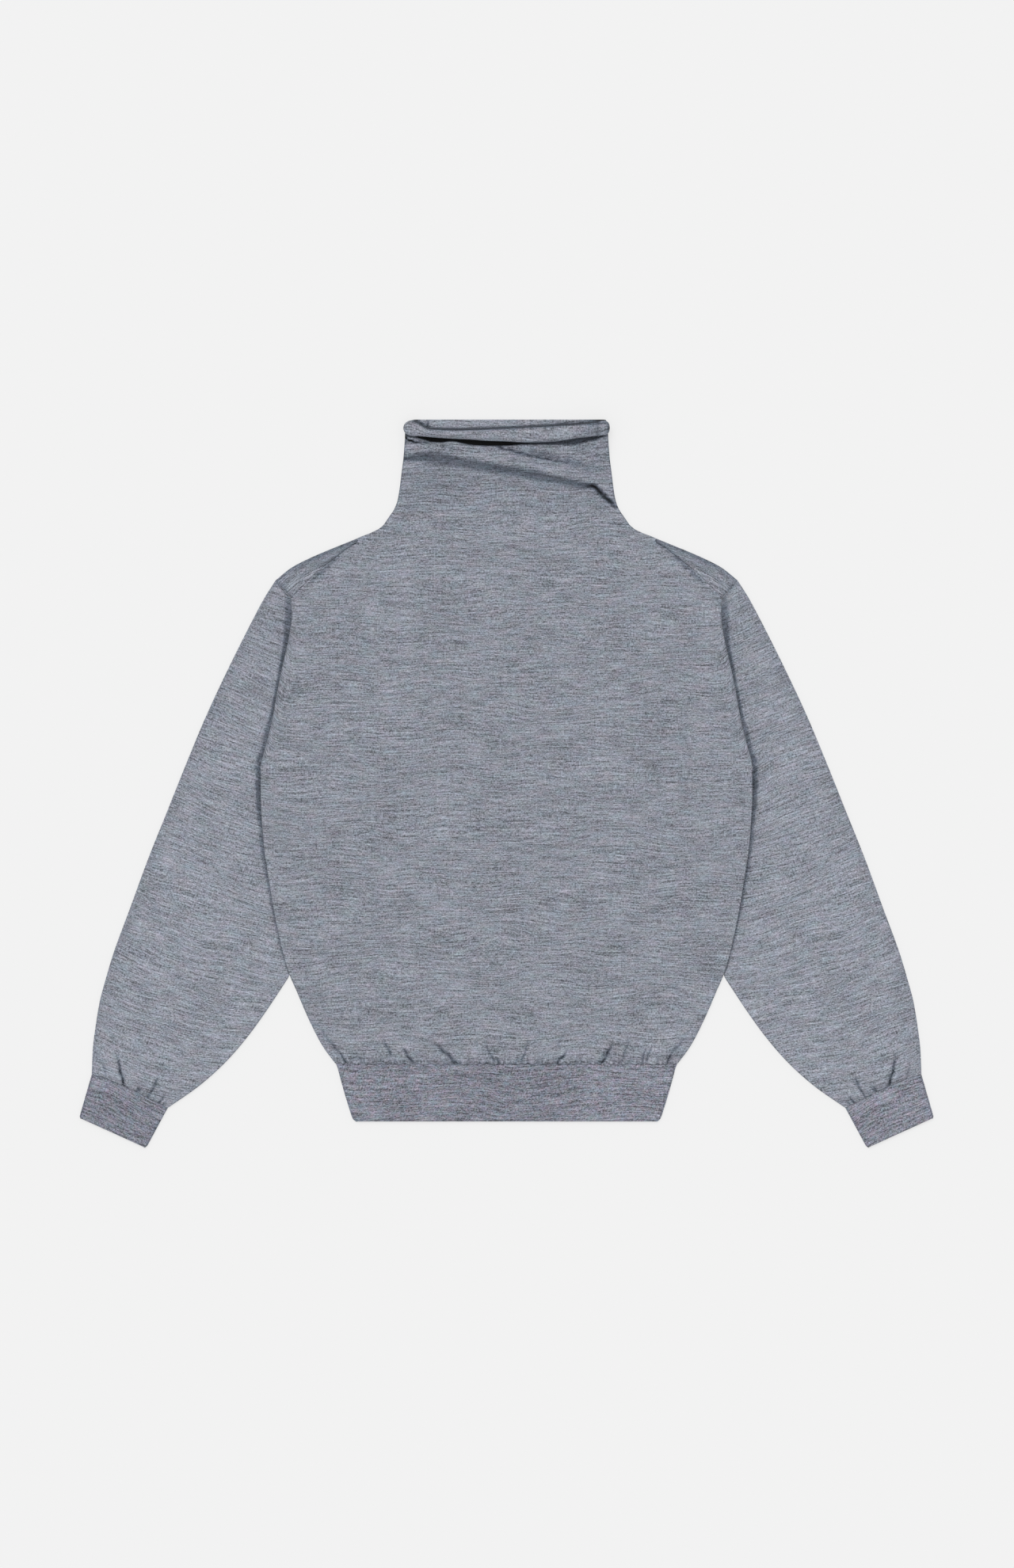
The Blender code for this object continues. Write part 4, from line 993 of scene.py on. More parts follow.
def cuff_arch(share, distance):
    """How sections arch towards the cuff's seam."""
    amount = CUFF_BOW * (1.0 - ease(distance / CUFF_BOW_RUN))
    return amount * np.sin(math.pi * clamp(share) ** CUFF_BOW_LEAN)


def sleeve_swell(reach, to_body, inner_height, from_cuff):
    """Soft waves of the sleeve where it lies loose, away from its edges and the cuff."""
    waves = np.sin(reach / SLEEVE_WAVES.across + np.sin(inner_height / SLEEVE_WAVES.across_bend))
    waves = waves * np.sin(inner_height / SLEEVE_WAVES.up + reach / SLEEVE_WAVES.up_bend)
    loose = ease(to_body / SLEEVE_SWELL_EDGE) * ease(reach / SLEEVE_SWELL_EDGE)
    return SWELL * waves * loose * ease(from_cuff / SWELL_FOOT)


def contact_shade(height, inner_height, beside, to_body):
    """How dark the sleeve looks next to the body: beside its side, and from the underarm up at the seam."""
    below = inner_height < UNDERARM
    body_height = np.where(below, height, inner_height)
    away = np.where(below, np.maximum(beside, 0.0), to_body)
    width = curve(CONTACT, "width", body_height)
    ragged = CONTACT_RAGGED * (uneven(height, CONTACT_RAGGED_PITCH) - 0.5) * (inner_height < CONTACT_EVEN)
    firm = 1.0 - CONTACT_FADE(away / width - ragged)
    long_pitch, short_pitch = CONTACT_MOTTLE_PITCHES
    mottled = 1.0 - CONTACT_MOTTLE * uneven(height, long_pitch) * uneven(away + 0.4 * height, short_pitch)
    spread = hump(away, CONTACT_SPREAD * width)
    return curve(CONTACT, "dark", body_height) * mottled * mix(spread, firm, CONTACT_FIRM)


def sleeve_form(across, up):
    """Where the right sleeve's cloth lies: round the flattened tube, from the cuff up to the armhole."""
    inner_height = zone_heights(SLEEVE_ZONES, up * zone_rows(SLEEVE_ZONES)[0])
    outer, inner = sleeve_ends(inner_height)
    run_half = inner.half - outer.half
    run_height = inner.height - outer.height
    length = np.hypot(run_half, run_height)
    turn = FOLD_RADIUS + WALL / 2
    edge = length - turn * (1.0 - ARMHOLE_OPENS(inner_height))
    reach, z, share, place = ring_place(across, SLEEVE_RING, turn, edge, SLEEVE_CROWD)
    to_body = length - reach
    from_cuff = inner_height - SLEEVE_ZONES[0].height
    from_head = SEAM_FOOT - inner_height
    half = outer.half + reach * run_half / length
    height = outer.height + reach * run_height / length + cuff_arch(reach / length, from_cuff)
    height += SEAM_GAP / 2 * (from_cuff <= 0.0)

    lowered, creased = press(SLEEVE_CREASES, half, height)
    ripple = uneven(reach + 3.0, RIPPLE)
    raised = sleeve_puff(np.maximum(share, 0.0), from_cuff, from_head)
    raised += sleeve_swell(reach, to_body, inner_height, from_cuff) + RIPPLE_RISE(from_cuff) * ripple
    raised -= lowered + SEAM_DIP(to_body) * SEAM_DIP_START(inner_height)
    top = share >= 0.0
    z = z + np.where(top, raised, 0.0)

    contact = contact_shade(height, inner_height, half - front_half(height), to_body)
    head = SLEEVE_HEAD_LINE(from_head) * HEAD_START(reach)
    hem = CUFF_DARK(from_cuff) * (1.0 - ripple) ** 2 + CUFF_FAINT(from_cuff)
    edges = (contact, SLEEVE_EDGE_SHADE(reach), SLEEVE_EDGE_DARK(reach), head)
    shade = np.where(creased < 0.0, creased, np.maximum.reduce((*edges, creased, hem)))
    tone = SLEEVE_TONE * (1.0 - SLEEVE_TONE_LOSS * SLEEVE_TONE_FADES(height))
    shade = np.where(top, shade + tone, UNDER_SHADE)

    height = height - np.where(top, RIPPLE_HANG(from_cuff) * ripple, 0.0)
    flatter = COURSE_FLATTEN * reach**2 / length * (1.0 - COURSES_STEEP(inner_height))
    along = half * math.cos(COURSE_SLOPE) + height * math.sin(COURSE_SLOPE)
    up_sleeve = height * math.cos(COURSE_SLOPE) - half * math.sin(COURSE_SLOPE) - flatter
    cloth = np.stack((along + SLEEVE_CLOTH[0] * (place > UNDER_PLACE), SLEEVE_CLOTH[1] + up_sleeve), axis=1)
    return np.stack((half, height, z), axis=1), cloth, shade


def band_form(band, ring, ribs, depth):
    """Where a ribbed band's cloth lies, round its flattened tube and from its open end to its seam."""
    def form(across, up):
        start, end = band.outer(up), band.inner(up)
        run_half = end.half - start.half
        run_height = end.height - start.height
        length = np.hypot(run_half, run_height)
        turn = FOLD_RADIUS + WALL / 2
        reach, z, share, place = ring_place(across, ring, turn, length - turn)
        rib = np.cos(2.0 * math.pi * ribs * share) * (share >= 0.0)
        z = z + depth * rib * ease(up / BAND_END) * ease((1.0 - up) / BAND_END)
        half = start.half + reach * run_half / length
        height = start.height + reach * run_height / length + band.arch(reach / length, up)
        under = BAND_UNDER_CLOTH * (place > UNDER_PLACE)
        cloth = np.stack((reach + band.cloth[0] + under, band.cloth[1] + up * band.height), axis=1)
        shade = UNDER_SHADE * (share < 0.0) + BAND_EDGE_DARK(np.minimum(reach, length - reach))
        shade = np.maximum(shade, BAND_SEAM_DARK((1.0 - up) * band.height)) + band.tone(half)
        return np.stack((half, height, z), axis=1), cloth, shade
    return form


def cuff_ends(top, end, corner_sign):
    """One side of the cuff, as a function of the share of its height from its open end."""
    def place(up):
        corner = CUFF_CORNER / 2 * clamp(1.0 - up * CUFF_HEIGHT / CUFF_CORNER) ** 2
        half = mix(end.half, top.half, up) - corner_sign * corner
        return Edge(mix(end.height, top.height, up) - SEAM_GAP / 2 * (up >= 1.0), half)
    return place


def hem_ends(side):
    def place(up):
        height = up * HEM_SEAM
        return Edge(height - SEAM_GAP / 2 * (up >= 1.0), side * curve(HEM_EDGE, "half", height))
    return place


class Value:
    """A number or colour in a material, on which Python's operators add Math nodes."""

    def __init__(self, recipe, socket):
        self.recipe = recipe
        self.socket = socket

    def __add__(self, other):
        return self.recipe.maths("ADD", self, other)

    def __radd__(self, other):
        return self.recipe.maths("ADD", other, self)

    def __sub__(self, other):
        return self.recipe.maths("SUBTRACT", self, other)

    def __rsub__(self, other):
        return self.recipe.maths("SUBTRACT", other, self)

    def __mul__(self, other):
        return self.recipe.maths("MULTIPLY", self, other)

    def __rmul__(self, other):
        return self.recipe.maths("MULTIPLY", other, self)


class Recipe:
    """A material while it is put together."""

    def __init__(self, name):
        self.material = bpy.data.materials.new(name)
        self.material.use_nodes = True
        self.tree = self.material.node_tree
        self.shader = self.tree.nodes["Principled BSDF"]

    def feed(self, socket, value):
        if isinstance(value, Value):
            self.tree.links.new(value.socket, socket)
        else:
            socket.default_value = value

    def node(self, kind, settings, inputs, output=0):
        """One node of any kind: its settings first, then the values or links of its sockets."""
        node = self.tree.nodes.new(kind)
        for name, value in settings.items():
            setattr(node, name, value)
        for place, value in inputs.items():
            self.feed(node.inputs[place], value)
        return Value(self, node.outputs[output])

    def maths(self, operation, *values):
        return self.node("ShaderNodeMath", {"operation": operation}, dict(enumerate(values)))

    def vectors(self, operation, *values):
        return self.node("ShaderNodeVectorMath", {"operation": operation}, dict(enumerate(values)))

    def finish(self, inputs):
        """Feeds the shader's own sockets, and gives the finished material."""
        for name, value in inputs.items():
            self.feed(self.shader.inputs[name], value)
        return self.material

    def scaled(self, colour, amount):
        """A colour made lighter or darker by an amount that varies."""
        return self.node("ShaderNodeVectorMath", {"operation": "SCALE"}, {0: colour, "Scale": amount})

    def noise(self, place, size, seed, detail=0.0, rough=0.5):
        """Soft noise about zero on flat cloth; size is how long and how wide its flecks are, in metres."""
        stretch = (1.0 / size[0], 1.0 / size[1], 0.0)
        step = (seed * NOISE_STEP[0], seed * NOISE_STEP[1], 0.0)
        moved = self.vectors("MULTIPLY_ADD", place, stretch, step)
        inputs = {"Vector": moved, "Scale": 1.0, "Detail": detail, "Roughness": rough}
        return self.node("ShaderNodeTexNoise", {"noise_dimensions": "2D"}, inputs) - 0.5


def melange(name, colour, look, contrast, mottle, fleck_size):
    """Melange cloth: streaks of light and dark yarn along the courses, fine stitches as relief, and the
    painted shade and painted highlights that the pieces' shade attribute holds.
    """
    made = bpy.data.materials.get(name)
    if made:
        return made
    cloth = Recipe(name)
    flat = cloth.node("ShaderNodeUVMap", {"uv_map": "cloth"}, {})
    drift = cloth.noise(flat, DRIFT_SIZE, 1.0)
    bend = cloth.node("ShaderNodeCombineXYZ", {}, {1: drift * look.course_drift})
    courses = cloth.vectors("ADD", flat, bend)

    flecks = [cloth.noise(courses, (fleck.length * MM, fleck.breadth * MM), 2.0 + number)
              for number, fleck in enumerate(FLECKS)]
    tone = 1.0
    for fleck, noise in zip(FLECKS, flecks):
        tone = tone + look.contrast * contrast * fleck.strength * noise
    # Painted shade: above zero the shade attribute darkens the colour in folds, gaps and beside edges; below
    # zero it is a painted highlight
    shade = cloth.node("ShaderNodeAttribute", {"attribute_name": "shade"}, {}, "Fac")
    tone = cloth.maths("MAXIMUM", tone, DARKEST_FLECK) * (1.0 - shade)
    grain, short_streaks = flecks[:2]
    pink, blue = (cloth.noise(courses, fleck_size, seed, detail=2.0, rough=0.85) for seed in TINT_SEEDS)
    pink = cloth.scaled(tuple(look.pink_tint), pink)
    blue = cloth.scaled(tuple(look.blue_tint), blue)
    tint = cloth.scaled(cloth.vectors("ADD", pink, blue), mottle)
    dyed = cloth.vectors("MULTIPLY_ADD", tint, tuple(colour), tuple(colour))
    # The painted shade also turns the colour by the shade tint
    depth = cloth.scaled(tuple(look.shade_tint), cloth.maths("MAXIMUM", shade, 0.0))
    cast = cloth.vectors("MULTIPLY_ADD", depth, (1.0,) * 3, (1.0,) * 3)
    colour = cloth.vectors("MULTIPLY", cloth.scaled(dyed, tone), cast)

    parts = cloth.node("ShaderNodeSeparateXYZ", {}, {0: courses})
    course = cloth.node("ShaderNodeSeparateXYZ", {}, {0: courses}, 1)
    wale = cloth.maths("ABSOLUTE", cloth.maths("SINE", parts * (math.pi / look.wale_pitch)))
    loops = cloth.maths("SINE", course * (2.0 * math.pi / look.course_pitch) + LOOP_BEND * wale)
    knit = wale * WALE_RELIEF + loops * LOOP_RELIEF + GRAIN_RELIEF * grain + STREAK_RELIEF * short_streaks
    relief = {"Strength": look.relief, "Distance": look.relief_height, "Height": knit}
    return cloth.finish({
        "Base Color": colour,
        "Roughness": 0.88 + 0.25 * grain,
        "Normal": cloth.node("ShaderNodeBump", {}, relief),
        "Sheen Weight": look.sheen,
        "Sheen Roughness": 0.6,
        "Sheen Tint": (0.9, 0.93, 1.0, 1.0),
        "Specular IOR Level": 0.2,
    })


def jersey():
    look = bpy.context.scene.jumper_look
    return melange("melange_jersey_cloth", look.jersey_colour, look,
                   contrast=1.04, mottle=0.85, fleck_size=(0.02, 0.011))


def rib():
    look = bpy.context.scene.jumper_look
    return melange("melange_rib_cloth", look.rib_colour, look,
                   contrast=1.22, mottle=1.7, fleck_size=(0.011, 0.007))


def flat_grid(columns, rows, fine_rows=0, cuts=0, leave_out=None):
    """A flat grid from 0 to 1 both ways, with more columns in its lowest rows if that is asked for."""
    shape = bmesh.new()
    bmesh.ops.create_grid(shape, x_segments=columns, y_segments=rows, size=0.5)
    bmesh.ops.translate(shape, verts=shape.verts, vec=(0.5, 0.5, 0.0))
    if cuts:
        limit = (fine_rows + 0.5) / rows
        level = []
        for edge in shape.edges:
            first, last = (vert.co for vert in edge.verts)
            if abs(first.y - last.y) < 0.5 / rows and first.y < limit:
                level.append(edge)
        bmesh.ops.subdivide_edges(shape, edges=level, cuts=cuts, use_grid_fill=True)
    if leave_out:
        unwanted = []
        for face in shape.faces:
            middle = face.calc_center_median()
            if leave_out(middle.x, middle.y):
                unwanted.append(face)
        bmesh.ops.delete(shape, geom=unwanted, context="FACES")
    mesh = bpy.data.meshes.new("cloth")
    shape.to_mesh(mesh)
    shape.free()
    return mesh


def keep_shade(mesh, shade):
    shades = mesh.attributes.new("shade", "FLOAT", "POINT")
    shades.data.foreach_set("value", shade.astype(np.float32))


def lay(mesh, form, mirrored=False):
    """Moves a flat grid's points to where the form says, and keeps the cloth's coordinates and shade."""
    count = len(mesh.vertices)
    flat = np.empty(count * 3, np.float32)
    mesh.vertices.foreach_get("co", flat)
    flat = flat.reshape(-1, 3).astype(float)
    place, cloth, shade = form(flat[:, 0], flat[:, 1])
    place = place - np.array((0.0, MIDDLE_HEIGHT, 0.0))
    if mirrored:
        place[:, 0] *= -1.0
        cloth[:, 0] += LEFT_CLOTH
    mesh.vertices.foreach_set("co", (place * MM).astype(np.float32).ravel())
    corners = np.empty(len(mesh.loops), np.int32)
    mesh.loops.foreach_get("vertex_index", corners)
    layer = mesh.uv_layers.new(name="cloth")
    layer.uv.foreach_set("vector", (cloth[corners] * MM).astype(np.float32).ravel())
    keep_shade(mesh, shade)
    if mirrored:
        mesh.flip_normals()
    mesh.update()
    return mesh


def surface(mesh):
    """Area of a laid grid in square metres."""
    return sum(face.area for face in mesh.polygons)


def piece_of(name, mesh, material):
    """A piece that rides the garment's one body."""
    mesh.shade_smooth()
    mesh.materials.append(material)
    piece = bpy.data.objects.new(name, mesh)
    bpy.context.scene.collection.objects.link(piece)
    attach(piece, "root")
    return piece


def sew(name, meshes, node, material):
    """Joins laid grids into one piece of cloth, gives it its thickness and puts it in its node's place."""
    shape = bmesh.new()
    for mesh in meshes:
        shape.from_mesh(mesh)
        bpy.data.meshes.remove(mesh)
    bmesh.ops.remove_doubles(shape, verts=shape.verts, dist=MERGE_DISTANCE)
    mesh = bpy.data.meshes.new(name)
    shape.to_mesh(mesh)
    shape.free()
    piece = piece_of(name, mesh, material)
    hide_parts(node)
    thick = piece.modifiers.new("wall", "SOLIDIFY")
    thick.thickness = bpy.context.scene.jumper_sizes.wall
    thick.offset = 0.0
    return piece


def add_stitch(shape, place, turn, size):
    """One small stitch at (x, height, z), turned in the plane of the cloth."""
    x, height, z = place
    moved = Matrix.Translation((x * MM, (height - MIDDLE_HEIGHT) * MM, z * MM))
    scaled = Matrix.Diagonal((*(side * MM / 2 for side in size), 1.0))
    matrix = moved @ Matrix.Rotation(turn, 4, "Z") @ scaled
    bmesh.ops.create_icosphere(shape, subdivisions=1, radius=1.0, matrix=matrix, calc_uvs=True)


def stitch_row(shape, path):
    """A seam's stitches along a path, each turned along it and leaned to one side and the other."""
    pitch = bpy.context.scene.jumper_sizes.stitch_pitch / MM
    size = (pitch * STITCH_FILL, STITCH_WIDTH, STITCH_HEIGHT)
    for number, (*place, direction) in enumerate(walk(path, pitch)):
        lean = STITCH_LEAN if number % 2 else -STITCH_LEAN
        add_stitch(shape, place, direction + lean, size)


def walk(path, pitch):
    """Points at even steps along a path of (x, height, z), with the direction at each."""
    path = np.array(path, float)
    lengths = np.hypot(np.diff(path[:, 0]), np.diff(path[:, 1]))
    walked = np.concatenate(([0.0], np.cumsum(lengths)))
    count = int(walked[-1] / pitch)
    places = (np.arange(count) + 0.5) * walked[-1] / count
    points = []
    for place in places:
        x, height, z = (np.interp(place, walked, path[:, axis]) for axis in range(3))
        k = min(int(np.searchsorted(walked, place)), len(lengths)) - 1
        direction = math.atan2(path[k + 1, 1] - path[k, 1], path[k + 1, 0] - path[k, 0])
        points.append((x, height, z, direction))
    return points


def finish_stitches(name, shape, material, shade=STITCH_SHADE):
    """Makes stitches a piece, with the cloth's coordinates where they lie."""
    mesh = bpy.data.meshes.new(name)
    layer = shape.loops.layers.uv.verify()
    for face in shape.faces:
        for loop in face.loops:
            loop[layer].uv = (loop.vert.co.x, loop.vert.co.y)
    shape.to_mesh(mesh)
    shape.free()
    mesh.uv_layers[0].name = "cloth"
    keep_shade(mesh, np.full(len(mesh.vertices), shade))
    return piece_of(name, mesh, material)


def user_number(name, description, default, low, high, **unit):
    """A number that a user may change."""
    return bpy.props.FloatProperty(
        name=name, description=description, default=default, min=low, max=high, precision=5, **unit)


def user_length(name, description, default, low, high):
    """A length in metres that a user may change."""
    return user_number(name, description, default, low, high, unit="LENGTH")


def user_colour(name, description, default):
    """A colour that a user may change."""
    return bpy.props.FloatVectorProperty(
        name=name, description=description, default=default, size=3, min=0.0, max=1.0, subtype="COLOR")


def user_tint(name, description, default):
    """How much of red, green and blue is added to a colour."""
    return bpy.props.FloatVectorProperty(
        name=name, description=description, default=default, size=3, min=-1.0, max=1.0)


class JumperSizes(bpy.types.PropertyGroup):
    """Sizes that a user may change."""

    wall: user_length("Cloth", "Thickness of the cloth", WALL * MM, 0.0005, 0.003)
    rib_pitch: user_length("Rib", "Breadth of one rib of the hem band and cuffs", 0.0018, 0.001, 0.006)
    rib_depth: user_length("Rib depth", "How far a rib stands over the cloth", 0.00014, 0.0, 0.0005)
    stitch_pitch: user_length("Stitch", "Distance between two stitches of a seam", 0.0024, 0.001, 0.006)


class JumperLook(bpy.types.PropertyGroup):
    """Colours and finish of the cloth."""

    jersey_colour: user_colour("Jersey", "Mean colour of the melange jersey", (0.255, 0.272, 0.317))
    rib_colour: user_colour("Rib", "Mean colour of the ribbed bands", (0.2275, 0.235, 0.282))
    pink_tint: user_tint("Pink tint", "How redder flecks differ from the mean colour", (0.28, -0.1, 0.02))
    blue_tint: user_tint("Blue tint", "How bluer flecks differ from the mean colour", (-0.12, -0.03, 0.15))
    # The colour that the painted shade in folds turns to
    shade_tint: user_tint("Shade tint", "How the colour turns in the depth of folds", (-0.12, 0.0, 0.14))
    contrast: user_number("Contrast", "Contrast of the yarn's streaks and flecks", 1.0, 0.0, 3.0)
    course_drift: user_length("Course drift", "How far the courses wander up and down", 0.012, 0.0, 0.05)
    wale_pitch: user_length("Wale", "Breadth of one stitch of the jersey", 0.0013, 0.0008, 0.004)
    course_pitch: user_length("Course", "Height of one stitch of the jersey", 0.001, 0.0006, 0.004)
    relief: user_number("Relief", "Strength of the stitches' relief", 0.35, 0.0, 1.0, subtype="FACTOR")
    relief_height: user_length("Relief height", "Height of the stitches' relief", 0.0001, 0.0, 0.001)
    sheen: user_number("Sheen", "Soft bloom of the wool's nap", 0.12, 0.0, 1.0, subtype="FACTOR")


class JumperStudio(bpy.types.PropertyGroup):
    """Floor, light and camera."""

    floor_colour: user_colour("Floor", "Colour of the pale floor", (0.25,) * 3)
    floor_glow: user_colour("Floor glow", "Light of the floor's own, as a light table gives", (0.643,) * 3)
    floor_breadth: user_length("Floor breadth", "Breadth of the floor", 24.0, 4.0, 60.0)
    sky: user_number("Soft light", "Strength of the even light from all round", 0.72, 0.0, 5.0)
    key: user_number("Key light", "Strength of the light from above the neck", 1.0, 0.0, 10.0)
    key_spread: user_number("Key spread", "Apparent size of the key light", math.radians(35),
                            0.0, math.radians(90), subtype="ANGLE", unit="ROTATION")
    camera_height: user_length("Camera height", "Height of the camera over the floor", 9.0, 1.0, 20.0)
    view_height: user_length("View height", "How much of the floor the picture shows from top to bottom",
                             1.782, 0.5, 5.0)


class JUMPER_OT_stage(bpy.types.Operator):
    """Make the pale floor, the soft light and the camera that looks straight down"""

    bl_idname = "jumper.make_stage"
    bl_label = "Stage"

    def execute(self, context):
        studio = context.scene.jumper_studio
        shape = bmesh.new()
        bmesh.ops.create_grid(shape, x_segments=1, y_segments=1, size=studio.floor_breadth / 2)
        bmesh.ops.translate(shape, verts=shape.verts, vec=(0.0, 0.0, FRAME_LOW.z - FLOOR_CLEARANCE))
        mesh = bpy.data.meshes.new("floor")
        shape.to_mesh(mesh)
        shape.free()
        paper = Recipe("pale_floor")
        place = paper.node("ShaderNodeTexCoord", {}, {}, "Object")
        clouds = paper.noise(place, FLOOR_CLOUDS, seed=1.0, detail=2.0)
        mesh.materials.append(paper.finish({
            "Base Color": paper.scaled(tuple(studio.floor_colour), 1.0 + FLOOR_MOTTLE * clouds),
            "Roughness": 0.95,
            "Emission Color": (*studio.floor_glow, 1.0),
            "Emission Strength": 1.0,
            "Specular IOR Level": 0.0,
        }))
        floor = bpy.data.objects.new("floor", mesh)
        context.scene.collection.objects.link(floor)

        world = bpy.data.worlds.new("soft_light")
        world.use_nodes = True
        sky = world.node_tree.nodes["Background"]
        sky.inputs["Color"].default_value = (1.0, 1.0, 1.0, 1.0)
        sky.inputs["Strength"].default_value = studio.sky
        context.scene.world = world
        key = bpy.data.lights.new("key_light", "SUN")
        key.energy = studio.key
        key.angle = studio.key_spread
        lamp = bpy.data.objects.new("key_light", key)
        lamp.rotation_euler = KEY_TURN
        context.scene.collection.objects.link(lamp)

        camera = bpy.data.cameras.new("camera")
        camera.lens = camera.sensor_width * studio.camera_height / studio.view_height
        camera.clip_end = 100.0
        viewer = bpy.data.objects.new("camera", camera)
        viewer.location = (VIEW_CENTRE[0], VIEW_CENTRE[1], studio.camera_height)
        context.scene.collection.objects.link(viewer)
        context.scene.camera = viewer
        context.scene.view_settings.view_transform = "Standard"
        return {"FINISHED"}


class JUMPER_OT_front(bpy.types.Operator):
    """Lay the front: gathers over the hem band, the long fold of the neck and the rolled rim"""

    bl_idname = "jumper.lay_front"
    bl_label = "Front"

    def execute(self, context):
        rows = zone_rows(FRONT_ZONES)[0] + ROLL_ROWS
        fine_rows = int(zone_rows(FRONT_ZONES)[1][2])
        mesh = lay(flat_grid(FRONT_COLUMNS, rows, fine_rows, HEM_CUTS), front_form)
        piece = sew("front_cloth", [mesh], "front_panel", jersey())
        breadth = 2.0 * max(row.half for row in SIDE_EDGE) * MM
        return {"FINISHED"}


class JUMPER_OT_back(bpy.types.Operator):
    """Lay the back: under the front, over the shoulders, and up to the turned rim of the neck"""

    bl_idname = "jumper.lay_back"
    bl_label = "Back"

    def execute(self, context):
        meshes = [lay(flat_grid(BACK_COLUMNS, back_rows()[-1]), back_form)]
        for side in (-1.0, 1.0):
            meshes.append(lay(flat_grid(zone_rows(STRIP_ZONES)[0], SHOULDER_ROWS), strip_form(side)))
        meshes[-1].flip_normals()
        piece = sew("back_cloth", meshes, "back_panel", jersey())
        breadth = 2.0 * max(row.half for row in SIDE_EDGE) * MM
        return {"FINISHED"}


class JUMPER_OT_sleeves(bpy.types.Operator):
    """Lay both sleeves: flattened tubes from the armholes to the gathers at the cuffs"""

    bl_idname = "jumper.lay_sleeves"
    bl_label = "Sleeves"

    def execute(self, context):
        columns, steps = zone_rows(SLEEVE_RING)
        rows = zone_rows(SLEEVE_ZONES)[0]
        armhole = zone_rows(SLEEVE_ZONES)[1][-2] / rows

        def open_armhole(across, up):
            return up > armhole and steps[0] < across * columns < steps[1]

        for side in ("left", "right"):
            mesh = flat_grid(columns, rows, leave_out=open_armhole)
            mesh = lay(mesh, sleeve_form, mirrored=side == "left")
            piece = sew(f"sleeve_{side}_cloth", [mesh], f"sleeve_{side}", jersey())
        return {"FINISHED"}


class JUMPER_OT_bands(bpy.types.Operator):
    """Knit the hem band and both cuffs: flattened tubes of fine rib"""

    bl_idname = "jumper.knit_bands"
    bl_label = "Hem band and cuffs"

    def execute(self, context):
        hem = Band(hem_ends(1.0), hem_ends(-1.0), 2.0 * HEM_EDGE[-1].half, HEM_SEAM, HEM_ROWS, HEM_CLOTH,
                   lambda share, up: 0.0, lambda x: curve(BAND_TONE, "shade", x))
        self.knit("hem_rib", "hem_band", hem, False)
        for side in ("left", "right"):
            cuff = Band(cuff_ends(CUFF_TOP_OUTER, CUFF_END_OUTER, 1.0),
                        cuff_ends(CUFF_TOP_INNER, CUFF_END_INNER, -1.0),
                        CUFF_BREADTH, CUFF_HEIGHT, CUFF_ROWS, CUFF_CLOTH,
                        lambda share, up: cuff_arch(share, (1.0 - up) * CUFF_BOW_RUN),
                        lambda half, tone=CUFF_TONES[side]: tone)
            self.knit(f"cuff_{side}_rib", f"cuff_{side}", cuff, side == "left")
        return {"FINISHED"}

    def knit(self, name, node, band, mirrored):
        sizes = bpy.context.scene.jumper_sizes
        ribs = round(band.breadth / (sizes.rib_pitch / MM))
        columns = (ribs * RIB_COLUMNS, TURN_COLUMNS, BAND_UNDER, TURN_COLUMNS)
        ring = table(Stretch, enumerate(columns, 1))
        form = band_form(band, ring, ribs, sizes.rib_depth / MM)
        mesh = lay(flat_grid(zone_rows(ring)[0], band.rows), form, mirrored)
        flat = (2.0 * band.breadth * MM, band.height * MM)
        area = min(surface(mesh), flat[0] * flat[1])
        piece = sew(name, [mesh], node, rib())


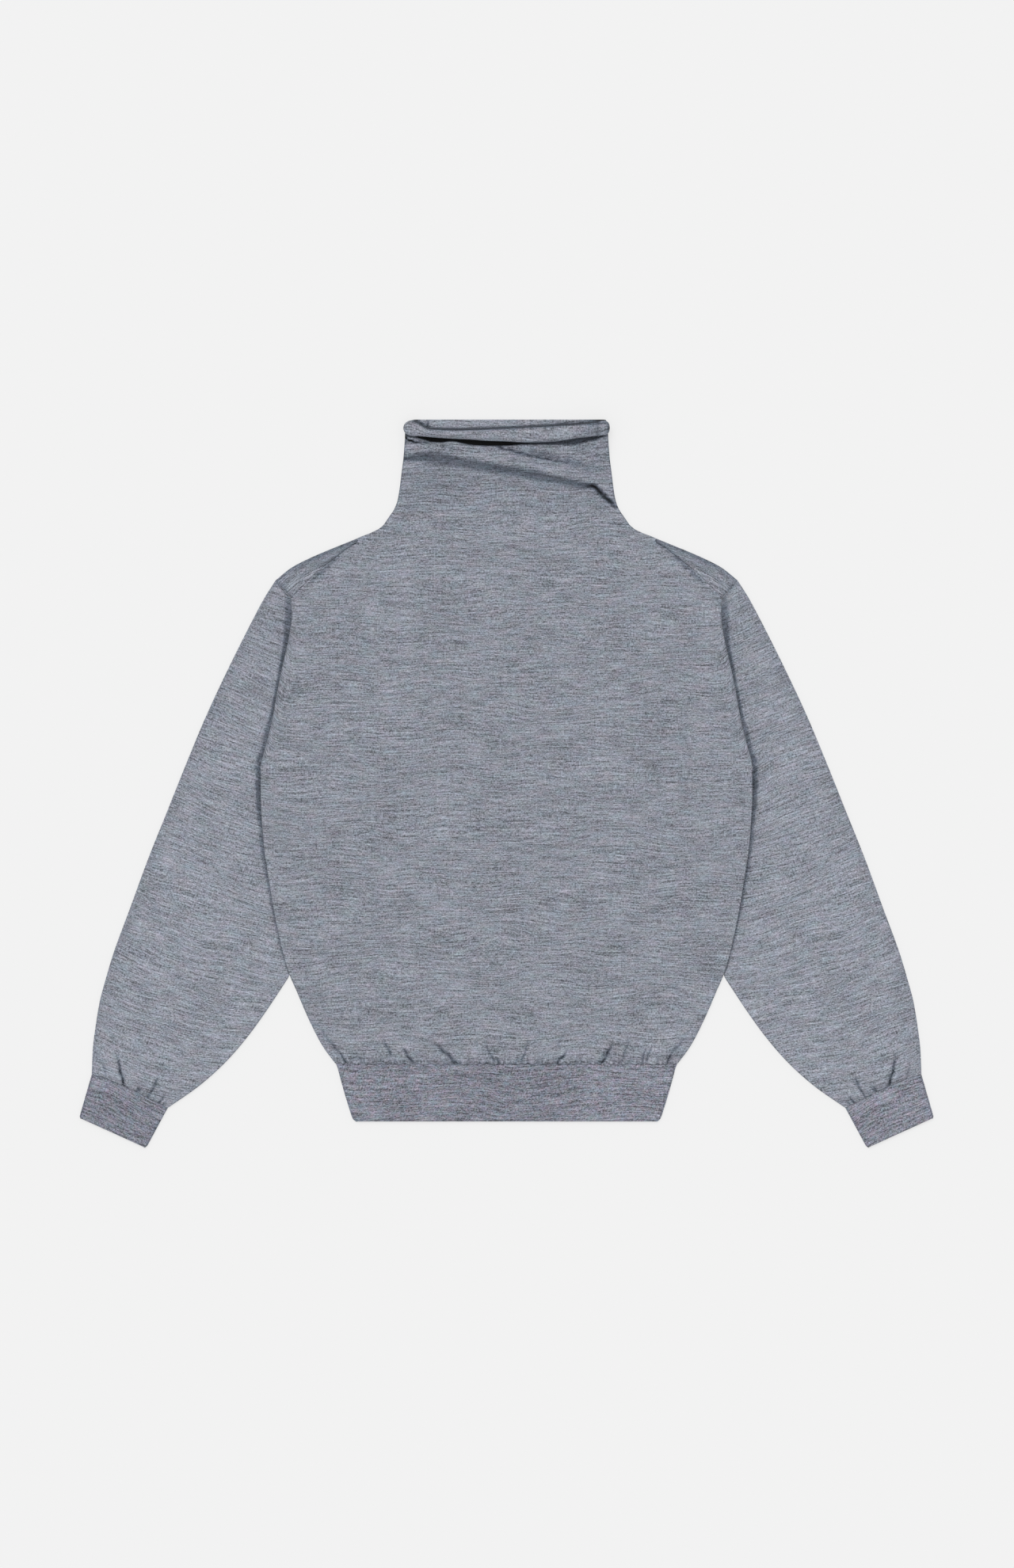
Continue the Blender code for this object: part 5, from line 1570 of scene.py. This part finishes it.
class JUMPER_OT_stitching(bpy.types.Operator):
    """Sew the seams: linked stitches at armholes, shoulders, hem and cuffs, and the fashioning marks"""

    bl_idname = "jumper.sew_seams"
    bl_label = "Stitching"

    def execute(self, context):
        bands = bmesh.new()
        end = HEM_EDGE[-1].half - SEAM_END
        stitch_row(bands, [(-end, HEM_SEAM, STITCH_Z), (end, HEM_SEAM, STITCH_Z)])
        for side, sign in (("left", -1.0), ("right", 1.0)):
            seams = bmesh.new()
            heights = np.linspace(SEAM_FOOT - SEAM_END, UNDERARM + SEAM_END, SEAM_STEPS)
            halves = curve(ARMHOLE, "half", heights) + SEAM_GAP / 2
            stitch_row(seams, [(sign * half, height, STITCH_Z) for half, height in zip(halves, heights)])
            stitch_row(seams, [(sign * row.seam_half, row.seam_height, STITCH_Z) for row in SHOULDER[2:]])
            finish_stitches(f"seam_{side}_stitches", seams, jersey())
            marks = bmesh.new()
            for mark in FASHIONING:
                half = float(curve(ARMHOLE, "half", np.array(mark.height))) - mark.inside
                size = (mark.length, MARK_WIDTH, MARK_HEIGHT)
                add_stitch(marks, (sign * half, mark.height, MARK_Z), math.radians(mark.slant) * sign, size)
            finish_stitches(f"marks_{side}", marks, jersey(), MARK_SHADE)
            share = np.linspace(*CUFF_SEAM_ENDS, CUFF_SEAM_STEPS)
            halves = mix(CUFF_TOP_OUTER.half, CUFF_TOP_INNER.half, share)
            heights = mix(CUFF_TOP_OUTER.height, CUFF_TOP_INNER.height, share) + cuff_arch(share, 0.0)
            stitch_row(bands, [(sign * half, height, STITCH_Z) for half, height in zip(halves, heights)])
        finish_stitches("band_stitches", bands, rib())
        return {"FINISHED"}


class JUMPER_PT_pieces(bpy.types.Panel):
    """The pieces of the jumper, its sizes and its looks."""

    bl_idname = "JUMPER_PT_pieces"
    bl_label = "Flat laid jumper"
    bl_space_type = "VIEW_3D"
    bl_region_type = "UI"
    bl_category = "Jumper"

    def draw(self, context):
        for operator in OPERATORS:
            self.layout.operator(operator.bl_idname)
        for group in (context.scene.jumper_sizes, context.scene.jumper_look, context.scene.jumper_studio):
            box = self.layout.box()
            for name in group.bl_rna.properties.keys():
                if name not in ("rna_type", "name"):
                    box.prop(group, name)


GROUPS = (JumperSizes, JumperLook, JumperStudio)
OPERATORS = (
    JUMPER_OT_stage,
    JUMPER_OT_front,
    JUMPER_OT_back,
    JUMPER_OT_sleeves,
    JUMPER_OT_bands,
    JUMPER_OT_stitching,
)


def register():
    for kind in GROUPS + OPERATORS + (JUMPER_PT_pieces,):
        bpy.utils.register_class(kind)
    bpy.types.Scene.jumper_sizes = bpy.props.PointerProperty(type=JumperSizes)
    bpy.types.Scene.jumper_look = bpy.props.PointerProperty(type=JumperLook)
    bpy.types.Scene.jumper_studio = bpy.props.PointerProperty(type=JumperStudio)


def unregister():
    del bpy.types.Scene.jumper_studio
    del bpy.types.Scene.jumper_look
    del bpy.types.Scene.jumper_sizes
    for kind in reversed(GROUPS + OPERATORS + (JUMPER_PT_pieces,)):
        bpy.utils.unregister_class(kind)


def main():
    register()
    bpy.ops.jumper.make_stage()
    bpy.ops.jumper.lay_front()
    bpy.ops.jumper.lay_back()
    bpy.ops.jumper.lay_sleeves()
    bpy.ops.jumper.knit_bands()
    bpy.ops.jumper.sew_seams()


if __name__ == "__main__":
    main()
